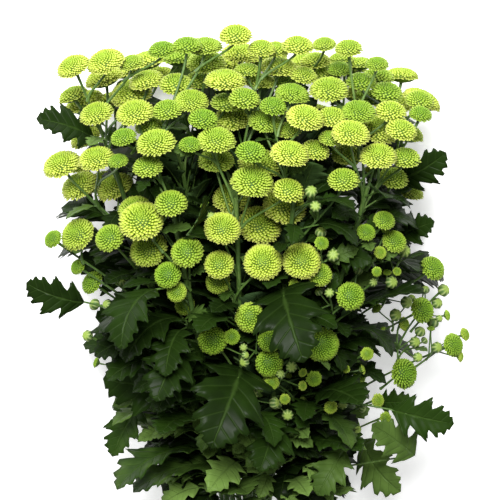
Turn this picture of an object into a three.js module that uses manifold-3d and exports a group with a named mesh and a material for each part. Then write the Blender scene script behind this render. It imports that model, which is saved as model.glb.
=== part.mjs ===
// A cut bunch of green pompon chrysanthemum, lying on its side: sixteen flowering sprays in a rubber band.
// Millimetres, +Z up. The cut ends point to -Y and the crown of flowers to +Y.
// Every spray grew as one piece, so its stem, leaves, stalks, flowers and buds are one solid.

import * as THREE from "three";
import { mergeVertices } from "three/addons/utils/BufferGeometryUtils.js";
import Module from "manifold-3d";

const wasm = await Module();
wasm.setup();
const { Manifold, Mesh: ManifoldMesh } = wasm;

const rad = THREE.MathUtils.degToRad;
const vec = (x, y, z) => new THREE.Vector3(x, y, z);

// ---------- Driving dimensions ----------
// A height is measured along the bunch from the cut ends. A share is a part of the whole, from 0 to 1.
const BUNCH = { top: 585, bandAt: 95, forkAt: 505, buttHeight: 14.8, lean: rad(8.4), flare: 0.2 };
const STEM = {
  rings: [1, 5, 10], // stems in the middle and in the two rings round it
  ringStep: 5.4, // between rings at the band
  ringReach: [0, 0.4, 0.78], // how far out each ring ends, as a share of the crown
  joints: [0, 90, 100, 160, 240, 330, 420, 505], // heights between which a stem is straight
  spread: 1.15, // 1 would spread the stems in straight lines
  rootRadius: 2.7,
  tipRadius: 1.8,
  sides: 5,
};
const CROWN = { halfWidth: 130, halfDepth: 82, squareness: 2.8, doming: 26, tilt: rad(32) };
const SKIRT = {
  depth: 160,
  bulge: 4,
  taper: 22,
  lowTaper: 14, // for each further depth under the skirt
  shrink: 4.5,
  tilt: rad(34),
  droop: rad(26),
  mostDroop: 1.3,
  spacing: 0.92,
  backEdge: -25, // the skirt's flowers behind this are placed by chance
  backDepth: 90,
};
const FLOWER = {
  radius: 13.8,
  radiusSpread: 2.2,
  halfHeight: 8,
  spacing: 0.95,
  underside: 2.5, // the rim's depth under the flower's middle
  cupDepth: 0.36, // as a share of the radius
  room: 0.78, // radius of the ball that keeps stalks of other sprays out, as a share
  stalkRadius: 1.4,
  stalkClimb: 42, // from where a stalk leaves its stem to the flower, with more for one further out
  stalkClimbAside: 0.9,
  tips: 5,
  tipShare: 0.9, // so that tips of neighbouring flowers stay apart
};
// How far heads lean out of the crown, across and along the view from above it.
const LEAN = { across: 0.45, along: 0.75, forward: 0.3, wobble: 0.3 };
const BRANCH = {
  stems: 6, // how many of the nearest stems a stalk may grow from
  choices: 8,
  low: 190, // the lowest and the highest that a stalk may leave a stem
  high: 492,
  shares: [0.3, 0.55, 0.75], // where along another stalk a side stalk may leave it
  shortest: 16,
  longest: 70,
  gain: 0.85, // how much shorter it has to be than a stalk from the nearest stem
  rise: 0.6,
  crowding: 4, // for each head that a spray has, a stalk counts as this much longer
};
const SHOOT = { low: 215, high: 400, reach: 52, climb: 55, fan: rad(110), stalkRadius: 1.1, backSide: 0.2 };
const BUD = { radius: 4.6, radiusSpread: 5, sideRadius: 3.6, apart: 13, sides: 5 };
const LEAF = {
  low: 185,
  innerLow: 430,
  high: 490,
  step: 48,
  length: 78,
  petiole: 0.2, // as a share of the length
  petioleHalf: 1, // half the width of a listed leaf's petiole at its foot
  thickness: 0.9,
};
const LEAF_POSE = {
  turnStep: 137.5,
  fold: rad(9),
  roll: rad(50),
  smallAbove: 430,
  pressed: 20, // the furthest that the surface presses a leaf up
  onFloor: 0.65, // height of a pressed blade's middle layer
};
const BAND = { thickness: 1.6, width: 6, gap: 0.55, sides: 20 };

const CLEARANCE = 1.05; // between things on different sprays
const FLOOR_PRESS = 0.8; // how far a head that lies on the surface is pressed flat
const DARTS = { skirt: 1000, tries: 40 };
const SEED = { skirt: 9000, shoot: 20000, leaf: 40000, listedHead: 60000, listedLeaf: 80000 };

// ---------- What shows on the upper face, as an eye above it sees it ----------
// The eye rises from the upper face towards the crown. A listed place is measured from its aim.
const EYE = { rise: rad(27), distance: 1400, aim: vec(0, 430, 90), near: 1100, far: 1700, step: 2 };
const SINK = { first: 3, step: 2.5, deepest: 73 }; // how far a listed head sits inside the crown
const ASIDE_AT = 25; // the height over the bunch's middle of a head that stands clear of its sides
const LISTED_LEAF = {
  lift: 6, // how far over the outline its tip is tried first
  step: 2.5,
  recess: 6, // how much deeper than the tip the base is
  recessSpread: 22,
  bend: rad(30),
  bendSpread: rad(42),
  turn: rad(70),
  back: 30, // how far down the stem from its base a petiole starts
  choices: 6,
};

// Across, up and radius of each flower and of each bud.
const LISTED_FLOWERS = [
  [-137, 142, 12.5], [-112, 146, 14], [-113, 134, 14], [-80, 147, 14], [-92, 146, 9], [-80, 132, 13],
  [-137, 121, 11], [-119, 105, 12.5], [-92, 122, 15.5], [-89, 106, 14], [-79, 96, 10], [-64, 109, 11],
  [-98, 87, 9.5], [-73, 82, 14.5], [-68, 156, 10], [-49, 159, 11], [-35, 158, 13], [-55, 149, 11.5],
  [-34, 146, 14], [-11, 167, 12], [-8, 153, 13.5], [9, 157, 10], [20, 156, 10], [37, 159, 11.5],
  [17, 152, 11], [22, 142, 14], [-2, 140, 10], [-19, 132, 15], [8, 131, 12], [-57, 129, 12],
  [-39, 132, 11], [-45, 116, 12.5], [-4, 118, 11.5], [-18, 115, 11.5], [18, 112, 10], [-12, 103, 15],
  [-36, 102, 11], [12, 99, 12.5], [33, 122, 12.5], [28, 132, 10], [43, 102, 14], [42, 136, 10],
  [50, 147, 11], [30, 92, 9], [57, 160, 9], [76, 157, 10], [70, 149, 9], [85, 145, 10],
  [98, 145, 8.5], [117, 136, 12], [131, 116, 10.5], [132, 105, 8.5], [69, 141, 9], [59, 138, 12.5],
  [61, 125, 14], [99, 135, 11.5], [86, 131, 11], [106, 123, 11.5], [92, 119, 11.5], [84, 108, 12.5],
  [109, 108, 11.5], [63, 103, 11], [99, 92, 15], [78, 89, 14], [117, 92, 11.5], [62, 86, 8.5],
  [-146, 66, 14], [-119, 70, 13], [-102, 69, 7.5], [-132, 51, 14], [-105, 50, 14], [-79, 63, 11],
  [-84, 21, 16.5], [-89, 30, 12.5], [-61, 35, 12], [-46, 81, 8.5], [-26, 84, 14], [-26, 68, 13],
  [1, 75, 11.5], [8, 65, 16], [2, 52, 15.5], [31, 74, 14], [51, 76, 10.5], [-14, 38, 14],
  [30, 45, 11.5], [27, 32, 16], [-21, 16, 13.5], [8, 18, 16], [75, 73, 11.5], [99, 72, 13.5],
  [120, 71, 11], [72, 54, 11.5], [111, 56, 11], [-153, 9, 7], [-134, 12, 13], [-109, 9, 11],
  [-79, 0, 14], [-49, -2, 12], [-134, -12, 6], [-123, -24, 9], [-64, -19, 10], [-57, -32, 7.5],
  [-51, -42, 7.5], [-24, -12, 11], [-25, -25, 9], [10, -10, 14], [40, -9, 14], [54, -19, 9],
  [0, -52, 11], [104, 23, 8], [90, 14, 7], [112, 7, 9], [142, -13, 9.5], [78, -35, 10.5],
  [-29, -70, 10.5], [15, -70, 8.5], [15, -88, 10], [56, -73, 12.5], [134, -46, 9.5], [158, -73, 8.5],
  [120, -95, 11], [36, -70, 7],
];
const LISTED_BUDS = [
  [47, 45, 4.5], [55, 5, 5.5], [-14, -67, 6], [49, -99, 6], [-18, -114, 5.5], [98, -116, 5.5],
  [118, -57, 5.5], [100, -2, 5], [109, -25, 4.5], [112, -50, 4.5], [149, -31, 4.5], [165, -65, 5],
  [90, -80, 5], [17, -102, 5.5], [64, -4, 4.5], [104, -129, 4.5], [119, -1, 4.5], [144, -41, 4],
  [127, -71, 4], [144, -75, 4], [-110, -42, 3.5], [61, -33, 3.5], [32, -90, 4], [39, -82, 4],
  [62, -121, 5], [29, -127, 4], [-28, -120, 3.5], [-11, -122, 3.5], [2, -111, 4], [-5, -75, 3],
  [-30, 26, 3], [-125, -66, 4], [95, -25, 3],
];
// Across and up of each large leaf's base and of its tip.
const LISTED_LEAVES = [
  [-125, 83, -171, 92], [-125, -32, -167, -11], [-77, -22, -132, -5], [-55, -68, -116, -62],
  [-48, -106, -113, -99], [-83, -116, -106, -159], [9, -43, 85, -52], [14, -9, 56, 16],
  [-49, 6, -28, 38], [114, 54, 151, 75], [94, 15, 137, 65], [111, 9, 142, 22], [26, 35, 59, 66],
  [9, -79, -20, -106], [88, -146, 116, -186], [105, -88, 151, -72], [99, -117, 126, -116],
  [73, -154, 52, -189], [20, -134, 42, -168], [-35, -77, -63, -89], [38, -100, 69, -131],
  [-8, -131, -38, -162], [62, 0, 94, -9], [-77, -38, -119, -52], [127, -158, 94, -134],
  [-54, 38, -77, 46],
];

// ---------- Chance: a seeded generator that is easy to repeat in any language ----------
function dice(seed) {
  const range = 2 ** 32;
  let state = (seed * 2654435761) % range;
  return () => {
    state = (state * 1664525 + 1013904223) % range;
    return state / range;
  };
}

// ---------- The bunch's own directions in the part's frame ----------
const ACROSS = vec(1, 0, 0);
const ALONG = vec(0, Math.cos(BUNCH.lean), Math.sin(BUNCH.lean));
const FRONT = vec(0, -Math.sin(BUNCH.lean), Math.cos(BUNCH.lean));

// u runs across, v along from the cut ends, and w out of the upper face.
function heading(u, v, w) {
  return vec(0, 0, 0).addScaledVector(ACROSS, u).addScaledVector(ALONG, v).addScaledVector(FRONT, w);
}

function place(u, v, w) {
  return heading(u, v, w).add(vec(0, 0, BUNCH.buttHeight));
}

// ---------- Crown outline: a rounded oblong ----------
function rimShare(u, w) {
  const n = CROWN.squareness;
  return (Math.abs(u / CROWN.halfWidth) ** n + Math.abs(w / CROWN.halfDepth) ** n) ** (1 / n);
}

function rimPoint(angle) {
  const share = rimShare(Math.cos(angle), Math.sin(angle));
  return [Math.cos(angle) / share, Math.sin(angle) / share];
}

function outwardAt(u, w) {
  const [gu, gw] = [u / CROWN.halfWidth ** 2, w / CROWN.halfDepth ** 2];
  const size = Math.hypot(gu, gw) || 1;
  return [gu / size, gw / size];
}

// How wide the crown is at a depth under its rim, as a share of its width at the top.
function girth(depth) {
  const share = Math.max(depth, 0) / SKIRT.depth;
  const narrower = SKIRT.taper * Math.min(share, 1) ** 2 + SKIRT.lowTaper * Math.max(share - 1, 0);
  return 1 + (SKIRT.bulge - narrower) / CROWN.halfWidth;
}

// ---------- Lines of sight ----------
const EYE_WAY = heading(0, Math.sin(EYE.rise), Math.cos(EYE.rise));
const EYE_UP = heading(0, Math.cos(EYE.rise), -Math.sin(EYE.rise));

function sight(across, up) {
  const eye = EYE.aim.clone().addScaledVector(EYE_WAY, EYE.distance);
  const seen = EYE.aim.clone().addScaledVector(ACROSS, across).addScaledVector(EYE_UP, up);
  return { eye, way: seen.sub(eye).normalize() };
}

function alongSight({ eye, way }, reach) {
  return eye.clone().addScaledVector(way, reach);
}

// A point's u, v and w.
function bunchPlace(point) {
  const from = point.clone().sub(vec(0, 0, BUNCH.buttHeight));
  return [from.x, from.dot(ALONG), from.dot(FRONT)];
}

function isInside([u, v, w]) {
  const share = rimShare(u, w);
  const under = BUNCH.top - CROWN.doming - v;
  return -under <= CROWN.doming * (1 - share ** 2.2) && share <= girth(under);
}

// How far along a line of sight the crown's outline is. A line that misses it ends beside it.
function firstMeeting(line) {
  for (let reach = EYE.near; reach < EYE.far; reach += EYE.step) {
    if (isInside(bunchPlace(alongSight(line, reach)))) return reach;
  }
  return (ASIDE_AT - bunchPlace(line.eye)[2]) / line.way.dot(FRONT);
}

// ---------- Stems ----------
function makeStems() {
  const stems = [];
  STEM.rings.forEach((count, ring) => {
    for (let i = 0; i < count; i++) {
      const angle = (2 * Math.PI * (i + 0.25 + 0.25 * ring)) / count;
      const [u, w] = [Math.cos(angle), Math.sin(angle)];
      const [rimU, rimW] = rimPoint(angle);
      const reach = STEM.ringReach[ring];
      stems.push({
        owner: stems.length,
        outer: ring === STEM.rings.length - 1,
        away: [u, w],
        band: [ring * STEM.ringStep * u, ring * STEM.ringStep * w],
        site: [reach * rimU, reach * rimW],
      });
    }
  });
  return stems;
}

// Where a joint of a stem is, in u and w. Stems flare a little below the band and spread above it.
function jointOffset(stem, v) {
  const flare = 1 + BUNCH.flare * Math.max(1 - v / STEM.joints[1], 0);
  const share = Math.max((v - STEM.joints[2]) / (BUNCH.forkAt - STEM.joints[2]), 0) ** STEM.spread;
  return [0, 1].map((k) => flare * stem.band[k] + (stem.site[k] - stem.band[k]) * share);
}

function stemPoint(stem, v) {
  const upper = Math.max(STEM.joints.findIndex((joint) => joint >= v), 1);
  const [low, high] = [STEM.joints[upper - 1], STEM.joints[upper]];
  const [from, to] = [jointOffset(stem, low), jointOffset(stem, high)];
  const [u, w] = [0, 1].map((k) => from[k] + ((to[k] - from[k]) * (v - low)) / (high - low));
  return place(u, v, w);
}

function stemWayAt(stem, v) {
  return stemPoint(stem, v + 1).sub(stemPoint(stem, v - 1)).normalize();
}

function stemRadius(v) {
  return STEM.rootRadius + ((STEM.tipRadius - STEM.rootRadius) * v) / BUNCH.forkAt;
}

// ---------- Beads: balls that mark the room a thing takes, so that nothing crosses another spray ----------
const BEAD_STEP = 4;
const beads = [];

function bead(at, radius, owner, wood) {
  return { at, radius, owner, wood };
}

// Stems, stalks and petioles of one spray may meet, because it is all one piece.
function isClear(fresh) {
  return fresh.every((a) =>
    beads.every((b) => {
      if (a.owner === b.owner && a.wood && b.wood) return true;
      const room = a.radius + b.radius + CLEARANCE;
      return a.at.distanceToSquared(b.at) > room * room;
    }),
  );
}

function addStemBeads(stem) {
  const count = Math.ceil(BUNCH.forkAt / BEAD_STEP);
  for (let i = 0; i <= count; i++) {
    const v = (BUNCH.forkAt * i) / count;
    beads.push(bead(stemPoint(stem, v), stemRadius(v) + 0.4, stem.owner, true));
  }
}

// A stalk runs straight from its foot inside a stem to the base of a head.
function stalkBeads({ foot, base, owner }, radius) {
  const steps = Math.ceil(foot.distanceTo(base) / BEAD_STEP);
  const stations = Array.from({ length: steps - 1 }, (_, i) => foot.clone().lerp(base, (i + 1) / steps));
  return stations.map((at) => bead(at, radius, owner, true));
}

// ---------- Heads as rings of points ----------
// Each corner has its own distance from the axis, and its own rise along it.
function ringAt(centre, axis, corners, phase = 0) {
  const guide = Math.abs(axis.x) < 0.8 ? ACROSS : FRONT;
  const side = guide.clone().addScaledVector(axis, -guide.dot(axis)).normalize();
  const other = axis.clone().cross(side);
  return corners.map(([radius, rise], i) => {
    const angle = (2 * Math.PI * (i + phase)) / corners.length;
    const point = centre.clone().addScaledVector(side, radius * Math.cos(angle));
    return point.addScaledVector(other, radius * Math.sin(angle)).addScaledVector(axis, rise);
  });
}

function repeat(count, ...corners) {
  return Array.from({ length: count }, () => corners).flat();
}

// Outer florets stand out as points round the rim, the inner ones as ridges that meet on top of the dome.
function flowerRings({ middle, axis, radius }) {
  const centre = middle.clone().addScaledVector(axis, -FLOWER.underside);
  const tip = FLOWER.tipShare * radius;
  return [
    ringAt(centre, axis, repeat(FLOWER.tips, [tip, -0.06 * tip], [0.8 * tip, 0.16 * tip])),
    ringAt(centre, axis, repeat(FLOWER.tips, [0.56 * tip, 0.58 * tip]), 0.5),
    ringAt(centre, axis, [[0, 0.64 * tip]]),
  ];
}

function budRings({ middle, axis, radius }) {
  return [
    ringAt(middle, axis, repeat(BUD.sides, [radius, 0.1 * radius])),
    ringAt(middle, axis, [[0, 0.8 * radius]]),
  ];
}

// Lifts a head that would sink into the surface until only its lowest point is pressed flat.
function restOnFloor(head, rings) {
  const lowest = Math.min(...rings.flat().map((point) => point.z));
  head.middle.z += Math.max(-FLOOR_PRESS - lowest, 0);
}

// ---------- Flowers ----------
// Two flowers keep apart as two flattened balls that share one axis.
function areApart(a, b, spacing) {
  const axis = a.axis.clone().add(b.axis).normalize();
  const between = a.middle.clone().sub(b.middle);
  const along = between.dot(axis);
  const aside = between.lengthSq() - along * along;
  const wide = (a.radius + b.radius - 1) * spacing;
  const high = 2 * FLOWER.halfHeight;
  return aside / (wide * wide) + (along * along) / (high * high) > 1;
}

function crownAxis([u, v, w], roll) {
  const depth = BUNCH.top - CROWN.doming - v;
  const share = Math.min(Math.max(depth, 0) / SKIRT.depth, SKIRT.mostDroop);
  const onTop = CROWN.tilt * Math.min(rimShare(u, w), 1) ** 1.5;
  const lean = Math.sin(depth > 0 ? SKIRT.tilt + SKIRT.droop * share : onTop);
  const [ou, ow] = outwardAt(u, w);
  const aside = LEAN.across * lean * ou + LEAN.wobble * (roll() - 0.5);
  const forward = lean * (LEAN.along * ow + LEAN.forward) + LEAN.wobble * (roll() - 0.5);
  return heading(aside, Math.sqrt(1 - lean * lean), forward).normalize();
}

// The places that a stalk may grow from, on the stems and on the stalks of other heads. A short stalk comes
// first, and so does a spray with few heads.
function branchings(stems, heads, { base }, [u, v, w]) {
  const away = ({ site }) => Math.hypot(site[0] - u, site[1] - w);
  const nearest = [...stems].sort((a, b) => away(a) - away(b)).slice(0, BRANCH.stems);
  const choices = nearest.map((stem) => {
    const leaving = v - FLOWER.stalkClimb - FLOWER.stalkClimbAside * away(stem);
    const foot = stemPoint(stem, Math.max(Math.min(leaving, BRANCH.high), BRANCH.low));
    return { owner: stem.owner, foot, length: foot.distanceTo(base) };
  });
  const limit = BRANCH.gain * Math.min(...choices.map(({ length }) => length));
  for (const head of heads) {
    const stalk = head.base.clone().sub(head.foot).normalize();
    for (const share of BRANCH.shares) {
      const foot = head.foot.clone().lerp(head.base, share);
      const way = base.clone().sub(foot);
      const length = way.length();
      const rising = Math.min(way.dot(ALONG), way.dot(stalk)) >= BRANCH.rise * length;
      const fits = length >= BRANCH.shortest && length <= Math.min(BRANCH.longest, limit);
      if (fits && rising) choices.push({ owner: head.owner, foot, length });
    }
  }
  const cost = ({ owner, length }) =>
    length + BRANCH.crowding * heads.filter((head) => head.owner === owner).length;
  return choices.sort((a, b) => cost(a) - cost(b)).slice(0, BRANCH.choices);
}

function headBeads(head, stalkRadius, share) {
  return [...stalkBeads(head, stalkRadius), bead(head.middle, share * head.radius, head.owner, false)];
}

// Gives a head the shortest stalk that crosses nothing, and says whether there was one.
function grow(head, stems, others, at, stalkRadius, share) {
  for (const { owner, foot } of branchings(stems, others, head, at)) {
    Object.assign(head, { owner, foot });
    const fresh = headBeads(head, stalkRadius, share);
    if (!isClear(fresh)) continue;
    beads.push(...fresh);
    return true;
  }
  return false;
}

function growFlower(flowers, buds, stems, flower, at, spacing) {
  flower.base = flower.middle.clone().addScaledVector(flower.axis, -FLOWER.underside);
  flower.base.addScaledVector(flower.axis, -FLOWER.cupDepth * flower.radius);
  if (!flowers.every((other) => areApart(flower, other, spacing))) return false;
  if (!grow(flower, stems, [...flowers, ...buds], at, FLOWER.stalkRadius, FLOWER.room)) return false;
  flowers.push(flower);
  return true;
}

function growBud(flowers, buds, stems, bud, at) {
  bud.base = bud.middle.clone().addScaledVector(bud.axis, -0.7 * bud.radius);
  if (!grow(bud, stems, [...flowers, ...buds], at, SHOOT.stalkRadius, 1)) return false;
  buds.push(bud);
  return true;
}

// The heads on the upper face: each sits as close under the crown's outline, along its line of sight, as
// the heads before it allow.
function addListedHead(flowers, buds, stems, [across, up, size], order, isBud) {
  const line = sight(across, up);
  const outline = firstMeeting(line);
  for (let sunk = SINK.first; sunk <= SINK.deepest; sunk += SINK.step) {
    const middle = alongSight(line, outline + sunk);
    const at = bunchPlace(middle);
    const radius = (size * (outline + sunk)) / EYE.distance;
    if (middle.z < radius + 1) continue;
    const head = { middle, radius, axis: crownAxis(at, dice(SEED.listedHead + order)) };
    if (isBud && growBud(flowers, buds, stems, head, at)) return;
    if (!isBud && growFlower(flowers, buds, stems, head, at, FLOWER.spacing)) return;
  }
}

// The back of the crown's sides: flowers lean out further, and get smaller and sparser, the lower they are.
function addBackSkirt(flowers, buds, stems) {
  for (let dart = 0; dart < DARTS.skirt; dart++) {
    const roll = dice(SEED.skirt + dart);
    const [rimU, rimW] = rimPoint(2 * Math.PI * roll());
    const depth = SKIRT.backDepth * roll() ** 1.2;
    const radius = FLOWER.radius + FLOWER.radiusSpread * roll() - (SKIRT.shrink * depth) / SKIRT.depth;
    if (rimW > SKIRT.backEdge) continue;
    const at = [rimU * girth(depth), BUNCH.top - CROWN.doming - depth, rimW * girth(depth)];
    const flower = { middle: place(...at), radius, axis: crownAxis(at, roll) };
    restOnFloor(flower, flowerRings(flower));
    const spacing = SKIRT.spacing + 0.8 * (depth / SKIRT.depth) ** 2;
    growFlower(flowers, buds, stems, flower, at, spacing);
  }
}

// ---------- Side shoots at the back: a half-open bud at the end and a closed one beside it ----------
function makeShoot(stem, height, roll) {
  const turn = (roll() - 0.5) * SHOOT.fan;
  const [ou, ow] = stem.away;
  const [su, sw] = [ou * Math.cos(turn) - ow * Math.sin(turn), ou * Math.sin(turn) + ow * Math.cos(turn)];
  const reach = SHOOT.reach * (0.75 + 0.6 * roll());
  const climb = SHOOT.climb * (0.6 + 0.6 * roll());
  const axis = heading(0.7 * su, 0.75, 0.7 * sw).normalize();
  const foot = stemPoint(stem, height);
  const end = foot.clone().add(heading(su * reach, climb, sw * reach));
  const apart = BUD.apart + 4 * roll();
  const lag = 6 + 8 * roll();
  const beside = end.clone().add(heading(-sw * apart, -lag, su * apart));
  const heads = [
    { middle: end, radius: BUD.radius + BUD.radiusSpread * roll() ** 2 },
    { middle: beside, radius: BUD.sideRadius + 1.2 * roll() },
  ];
  for (const head of heads) {
    Object.assign(head, { owner: stem.owner, axis });
    restOnFloor(head, budRings(head));
    head.base = head.middle.clone().addScaledVector(axis, -0.7 * head.radius);
  }
  heads[0].foot = foot;
  heads[1].foot = foot.clone().lerp(heads[0].middle, 0.5);
  return heads;
}

function addShoot(buds, stem) {
  for (let attempt = 0; attempt < DARTS.tries; attempt++) {
    const roll = dice(SEED.shoot + 200 * stem.owner + attempt);
    const height = SHOOT.low + (SHOOT.high - SHOOT.low) * roll();
    const heads = makeShoot(stem, height, roll);
    const fresh = heads.flatMap((head) => headBeads(head, SHOOT.stalkRadius, 1));
    if (!isClear(fresh)) continue;
    beads.push(...fresh);
    buds.push(...heads);
    return;
  }
}

// ---------- Leaves ----------
// x runs from 0 at the blade's base to 1 at its tip, and is negative on the petiole. y is aside, in lengths.
function hangingPoint(leaf, x, y) {
  const bend = leaf.bend * Math.max(x, 0);
  const run = x > 0 ? Math.sin(bend) / leaf.bend : x;
  const drop = x > 0 ? (1 - Math.cos(bend)) / leaf.bend : 0;
  const rise = Math.abs(y) * Math.tan(LEAF_POSE.fold);
  const alongTangent = run + rise * Math.sin(bend);
  const alongNormal = rise * Math.cos(bend) - drop;
  return leaf.base
    .clone()
    .addScaledVector(leaf.tangent, leaf.length * alongTangent)
    .addScaledVector(leaf.normal, leaf.length * alongNormal)
    .addScaledVector(leaf.aside, leaf.length * y);
}

// The surface under the bunch presses a leaf's low parts flat.
function leafPoint(leaf, x, y) {
  const point = hangingPoint(leaf, x, y);
  point.z = Math.max(point.z, LEAF_POSE.onFloor);
  return point;
}

// The blade's room: x, y and radius, all in lengths.
const LEAF_BEADS = [
  [-0.1, 0, 0.03], [0.04, 0, 0.05], [0.16, 0, 0.08], [0.3, 0, 0.08], [0.46, 0, 0.08], [0.62, 0, 0.08],
  [0.77, 0, 0.08], [0.89, 0, 0.06], [0.97, 0, 0.03],
  ...[1, -1].flatMap((side) => [
    [0.14, side * 0.08, 0.05], [0.23, side * 0.1, 0.06], [0.23, side * 0.2, 0.04], [0.31, side * 0.2, 0.06],
    [0.33, side * 0.3, 0.04], [0.42, side * 0.1, 0.06], [0.5, side * 0.19, 0.05], [0.56, side * 0.14, 0.07],
    [0.6, side * 0.25, 0.05], [0.62, side * 0.32, 0.03], [0.76, side * 0.1, 0.06],
  ]),
];

function makeLeaf(stem, v, order, roll) {
  const stemWay = stemWayAt(stem, v);
  const range = stem.outer ? 105 : 180;
  const turn = rad(((order * LEAF_POSE.turnStep + stem.owner * 61 + 60 * roll()) % (2 * range)) - range);
  const away = heading(stem.away[0], 0, stem.away[1]);
  const out = away.addScaledVector(stemWay, -away.dot(stemWay)).normalize().applyAxisAngle(stemWay, turn);
  const rise = rad(stem.outer ? 38 + 26 * roll() : 16 + 14 * roll());
  const tangent = stemWay.clone().multiplyScalar(Math.cos(rise)).addScaledVector(out, Math.sin(rise));
  const level = stemWay.clone().multiplyScalar(Math.sin(rise)).addScaledVector(out, -Math.cos(rise));
  const normal = level.applyAxisAngle(tangent, LEAF_POSE.roll * (roll() - 0.5));
  const bend = rad(stem.outer ? 30 + 65 * roll() : 12 + 20 * roll());
  const length = LEAF.length * (0.78 + 0.34 * roll()) * (v > LEAF_POSE.smallAbove ? 0.86 : 1);
  const base = stemPoint(stem, v).addScaledVector(tangent, LEAF.petiole * length + 0.6);
  return { owner: stem.owner, base, tangent, normal, aside: tangent.clone().cross(normal), bend, length };
}

// The room a leaf takes, or nothing where the surface would press it too far up.
function leafRoom(leaf) {
  if (Math.min(...LEAF_BEADS.map(([x, y]) => hangingPoint(leaf, x, y).z)) < -LEAF_POSE.pressed) return null;
  return LEAF_BEADS.map(([x, y, radius]) =>
    bead(leafPoint(leaf, x, y), radius * leaf.length, leaf.owner, x < 0.1),
  );
}

// A leaf between two lines of sight, with its base deeper in the bunch than its tip.
function spanLeaf([baseAcross, baseUp, tipAcross, tipUp], reach, roll) {
  const tip = alongSight(sight(tipAcross, tipUp), reach);
  const recess = LISTED_LEAF.recess + LISTED_LEAF.recessSpread * roll();
  const base = alongSight(sight(baseAcross, baseUp), reach + recess);
  const span = base.distanceTo(tip);
  const chord = tip.sub(base).normalize();
  const half = (LISTED_LEAF.bend + LISTED_LEAF.bendSpread * roll()) / 2;
  const facing = EYE_WAY.clone().addScaledVector(chord, -EYE_WAY.dot(chord)).normalize();
  facing.applyAxisAngle(chord, LISTED_LEAF.turn * (roll() - 0.5));
  const tangent = chord.clone().multiplyScalar(Math.cos(half)).addScaledVector(facing, Math.sin(half));
  const normal = facing.multiplyScalar(Math.cos(half)).addScaledVector(chord, -Math.sin(half));
  const aside = tangent.clone().cross(normal);
  return { base, tangent, normal, aside, bend: 2 * half, length: (span * half) / Math.sin(half) };
}

// The stem points that a listed leaf may grow from, nearest first.
function leafFeet(stems, base) {
  const v = Math.min(bunchPlace(base)[1] - LISTED_LEAF.back, BRANCH.high);
  const feet = stems.map((stem) => ({ owner: stem.owner, foot: stemPoint(stem, Math.max(v, BRANCH.low)) }));
  feet.sort((a, b) => a.foot.distanceTo(base) - b.foot.distanceTo(base));
  return feet.slice(0, LISTED_LEAF.choices);
}

function addListedLeaf(leaves, stems, ends, order) {
  const outline = firstMeeting(sight(ends[2], ends[3])) - LISTED_LEAF.lift;
  for (let attempt = 0; attempt < DARTS.tries; attempt++) {
    const roll = dice(SEED.listedLeaf + 50 * order + attempt);
    const leaf = spanLeaf(ends, outline + LISTED_LEAF.step * Math.floor(attempt / 2), roll);
    for (const { owner, foot } of leafFeet(stems, leaf.base)) {
      Object.assign(leaf, { owner, foot });
      const blade = leafRoom(leaf);
      const fresh = blade && [...blade, ...stalkBeads(leaf, SHOOT.stalkRadius)];
      if (!fresh || !isClear(fresh)) continue;
      beads.push(...fresh);
      leaves.push(leaf);
      return;
    }
  }
}

function addLeaves(leaves, stem) {
  const low = stem.outer ? LEAF.low : LEAF.innerLow;
  const count = Math.floor((LEAF.high - low) / LEAF.step);
  for (let k = 0; k < count; k++) {
    for (let attempt = 0; attempt < DARTS.tries; attempt++) {
      const roll = dice(SEED.leaf + 1000 * stem.owner + 50 * k + attempt);
      const leaf = makeLeaf(stem, low + LEAF.step * (k + 0.7 * roll()), k, roll);
      const fresh = leafRoom(leaf);
      if (!fresh || !isClear(fresh)) continue;
      beads.push(...fresh);
      leaves.push(leaf);
      break;
    }
  }
}

// ---------- Solids ----------
function solidOf(geometry) {
  const bare = new THREE.BufferGeometry().setAttribute("position", geometry.getAttribute("position"));
  const merged = mergeVertices(bare.setIndex(geometry.index), 1e-4);
  const vertProperties = merged.attributes.position.array;
  const triVerts = new Uint32Array(merged.index.array);
  return new Manifold(new ManifoldMesh({ numProp: 3, vertProperties, triVerts }));
}

// Joins two rings of corners, whose counts may differ, by stepping along whichever lags behind.
function bridge(faces, low, high) {
  let [i, j] = [0, 0];
  while (i < low.length || j < high.length) {
    const behind = (i + 1) / low.length <= (j + 1) / high.length;
    const [a, b] = [low[i % low.length], high[j % high.length]];
    if (i < low.length && (behind || j === high.length)) faces.push([a, low[++i % low.length], b]);
    else faces.push([a, high[++j % high.length], b]);
  }
}

// Lofts rings into a closed body with flat ends. A last ring of one point closes it to a tip.
function loft(rings) {
  const points = [];
  const corners = rings.map((ring) => ring.map((point) => points.push(point) - 1));
  const faces = [];
  const [first, last] = [corners[0], corners[corners.length - 1]];
  for (let i = 1; i + 1 < first.length; i++) faces.push([first[0], first[i + 1], first[i]]);
  for (let i = 1; i + 1 < last.length; i++) faces.push([last[0], last[i], last[i + 1]]);
  corners.slice(1).forEach((ring, i) => {
    if (ring.length > 1) bridge(faces, corners[i], ring);
    else corners[i].forEach((a, k, below) => faces.push([a, below[(k + 1) % below.length], ring[0]]));
  });
  return solidOf(new THREE.BufferGeometry().setFromPoints(points).setIndex(faces.flat()));
}

function stemSolid(stem) {
  const ring = (v) => ringAt(stemPoint(stem, v), ALONG, repeat(STEM.sides, [stemRadius(v), 0]));
  return loft(STEM.joints.map(ring));
}

// Both ends are cut alike, so the sides are flat, which keeps the join with the stem plain.
function stalkRings({ foot, base }, radius) {
  const way = base.clone().sub(foot).normalize();
  return [foot, base].map((end) => ringAt(end, way, repeat(3, [radius, 0])));
}

function flowerSolid(flower) {
  return loft([...stalkRings(flower, FLOWER.stalkRadius), ...flowerRings(flower)]);
}

function budSolid(bud) {
  return loft([...stalkRings(bud, SHOOT.stalkRadius), ...budRings(bud)]);
}

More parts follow.
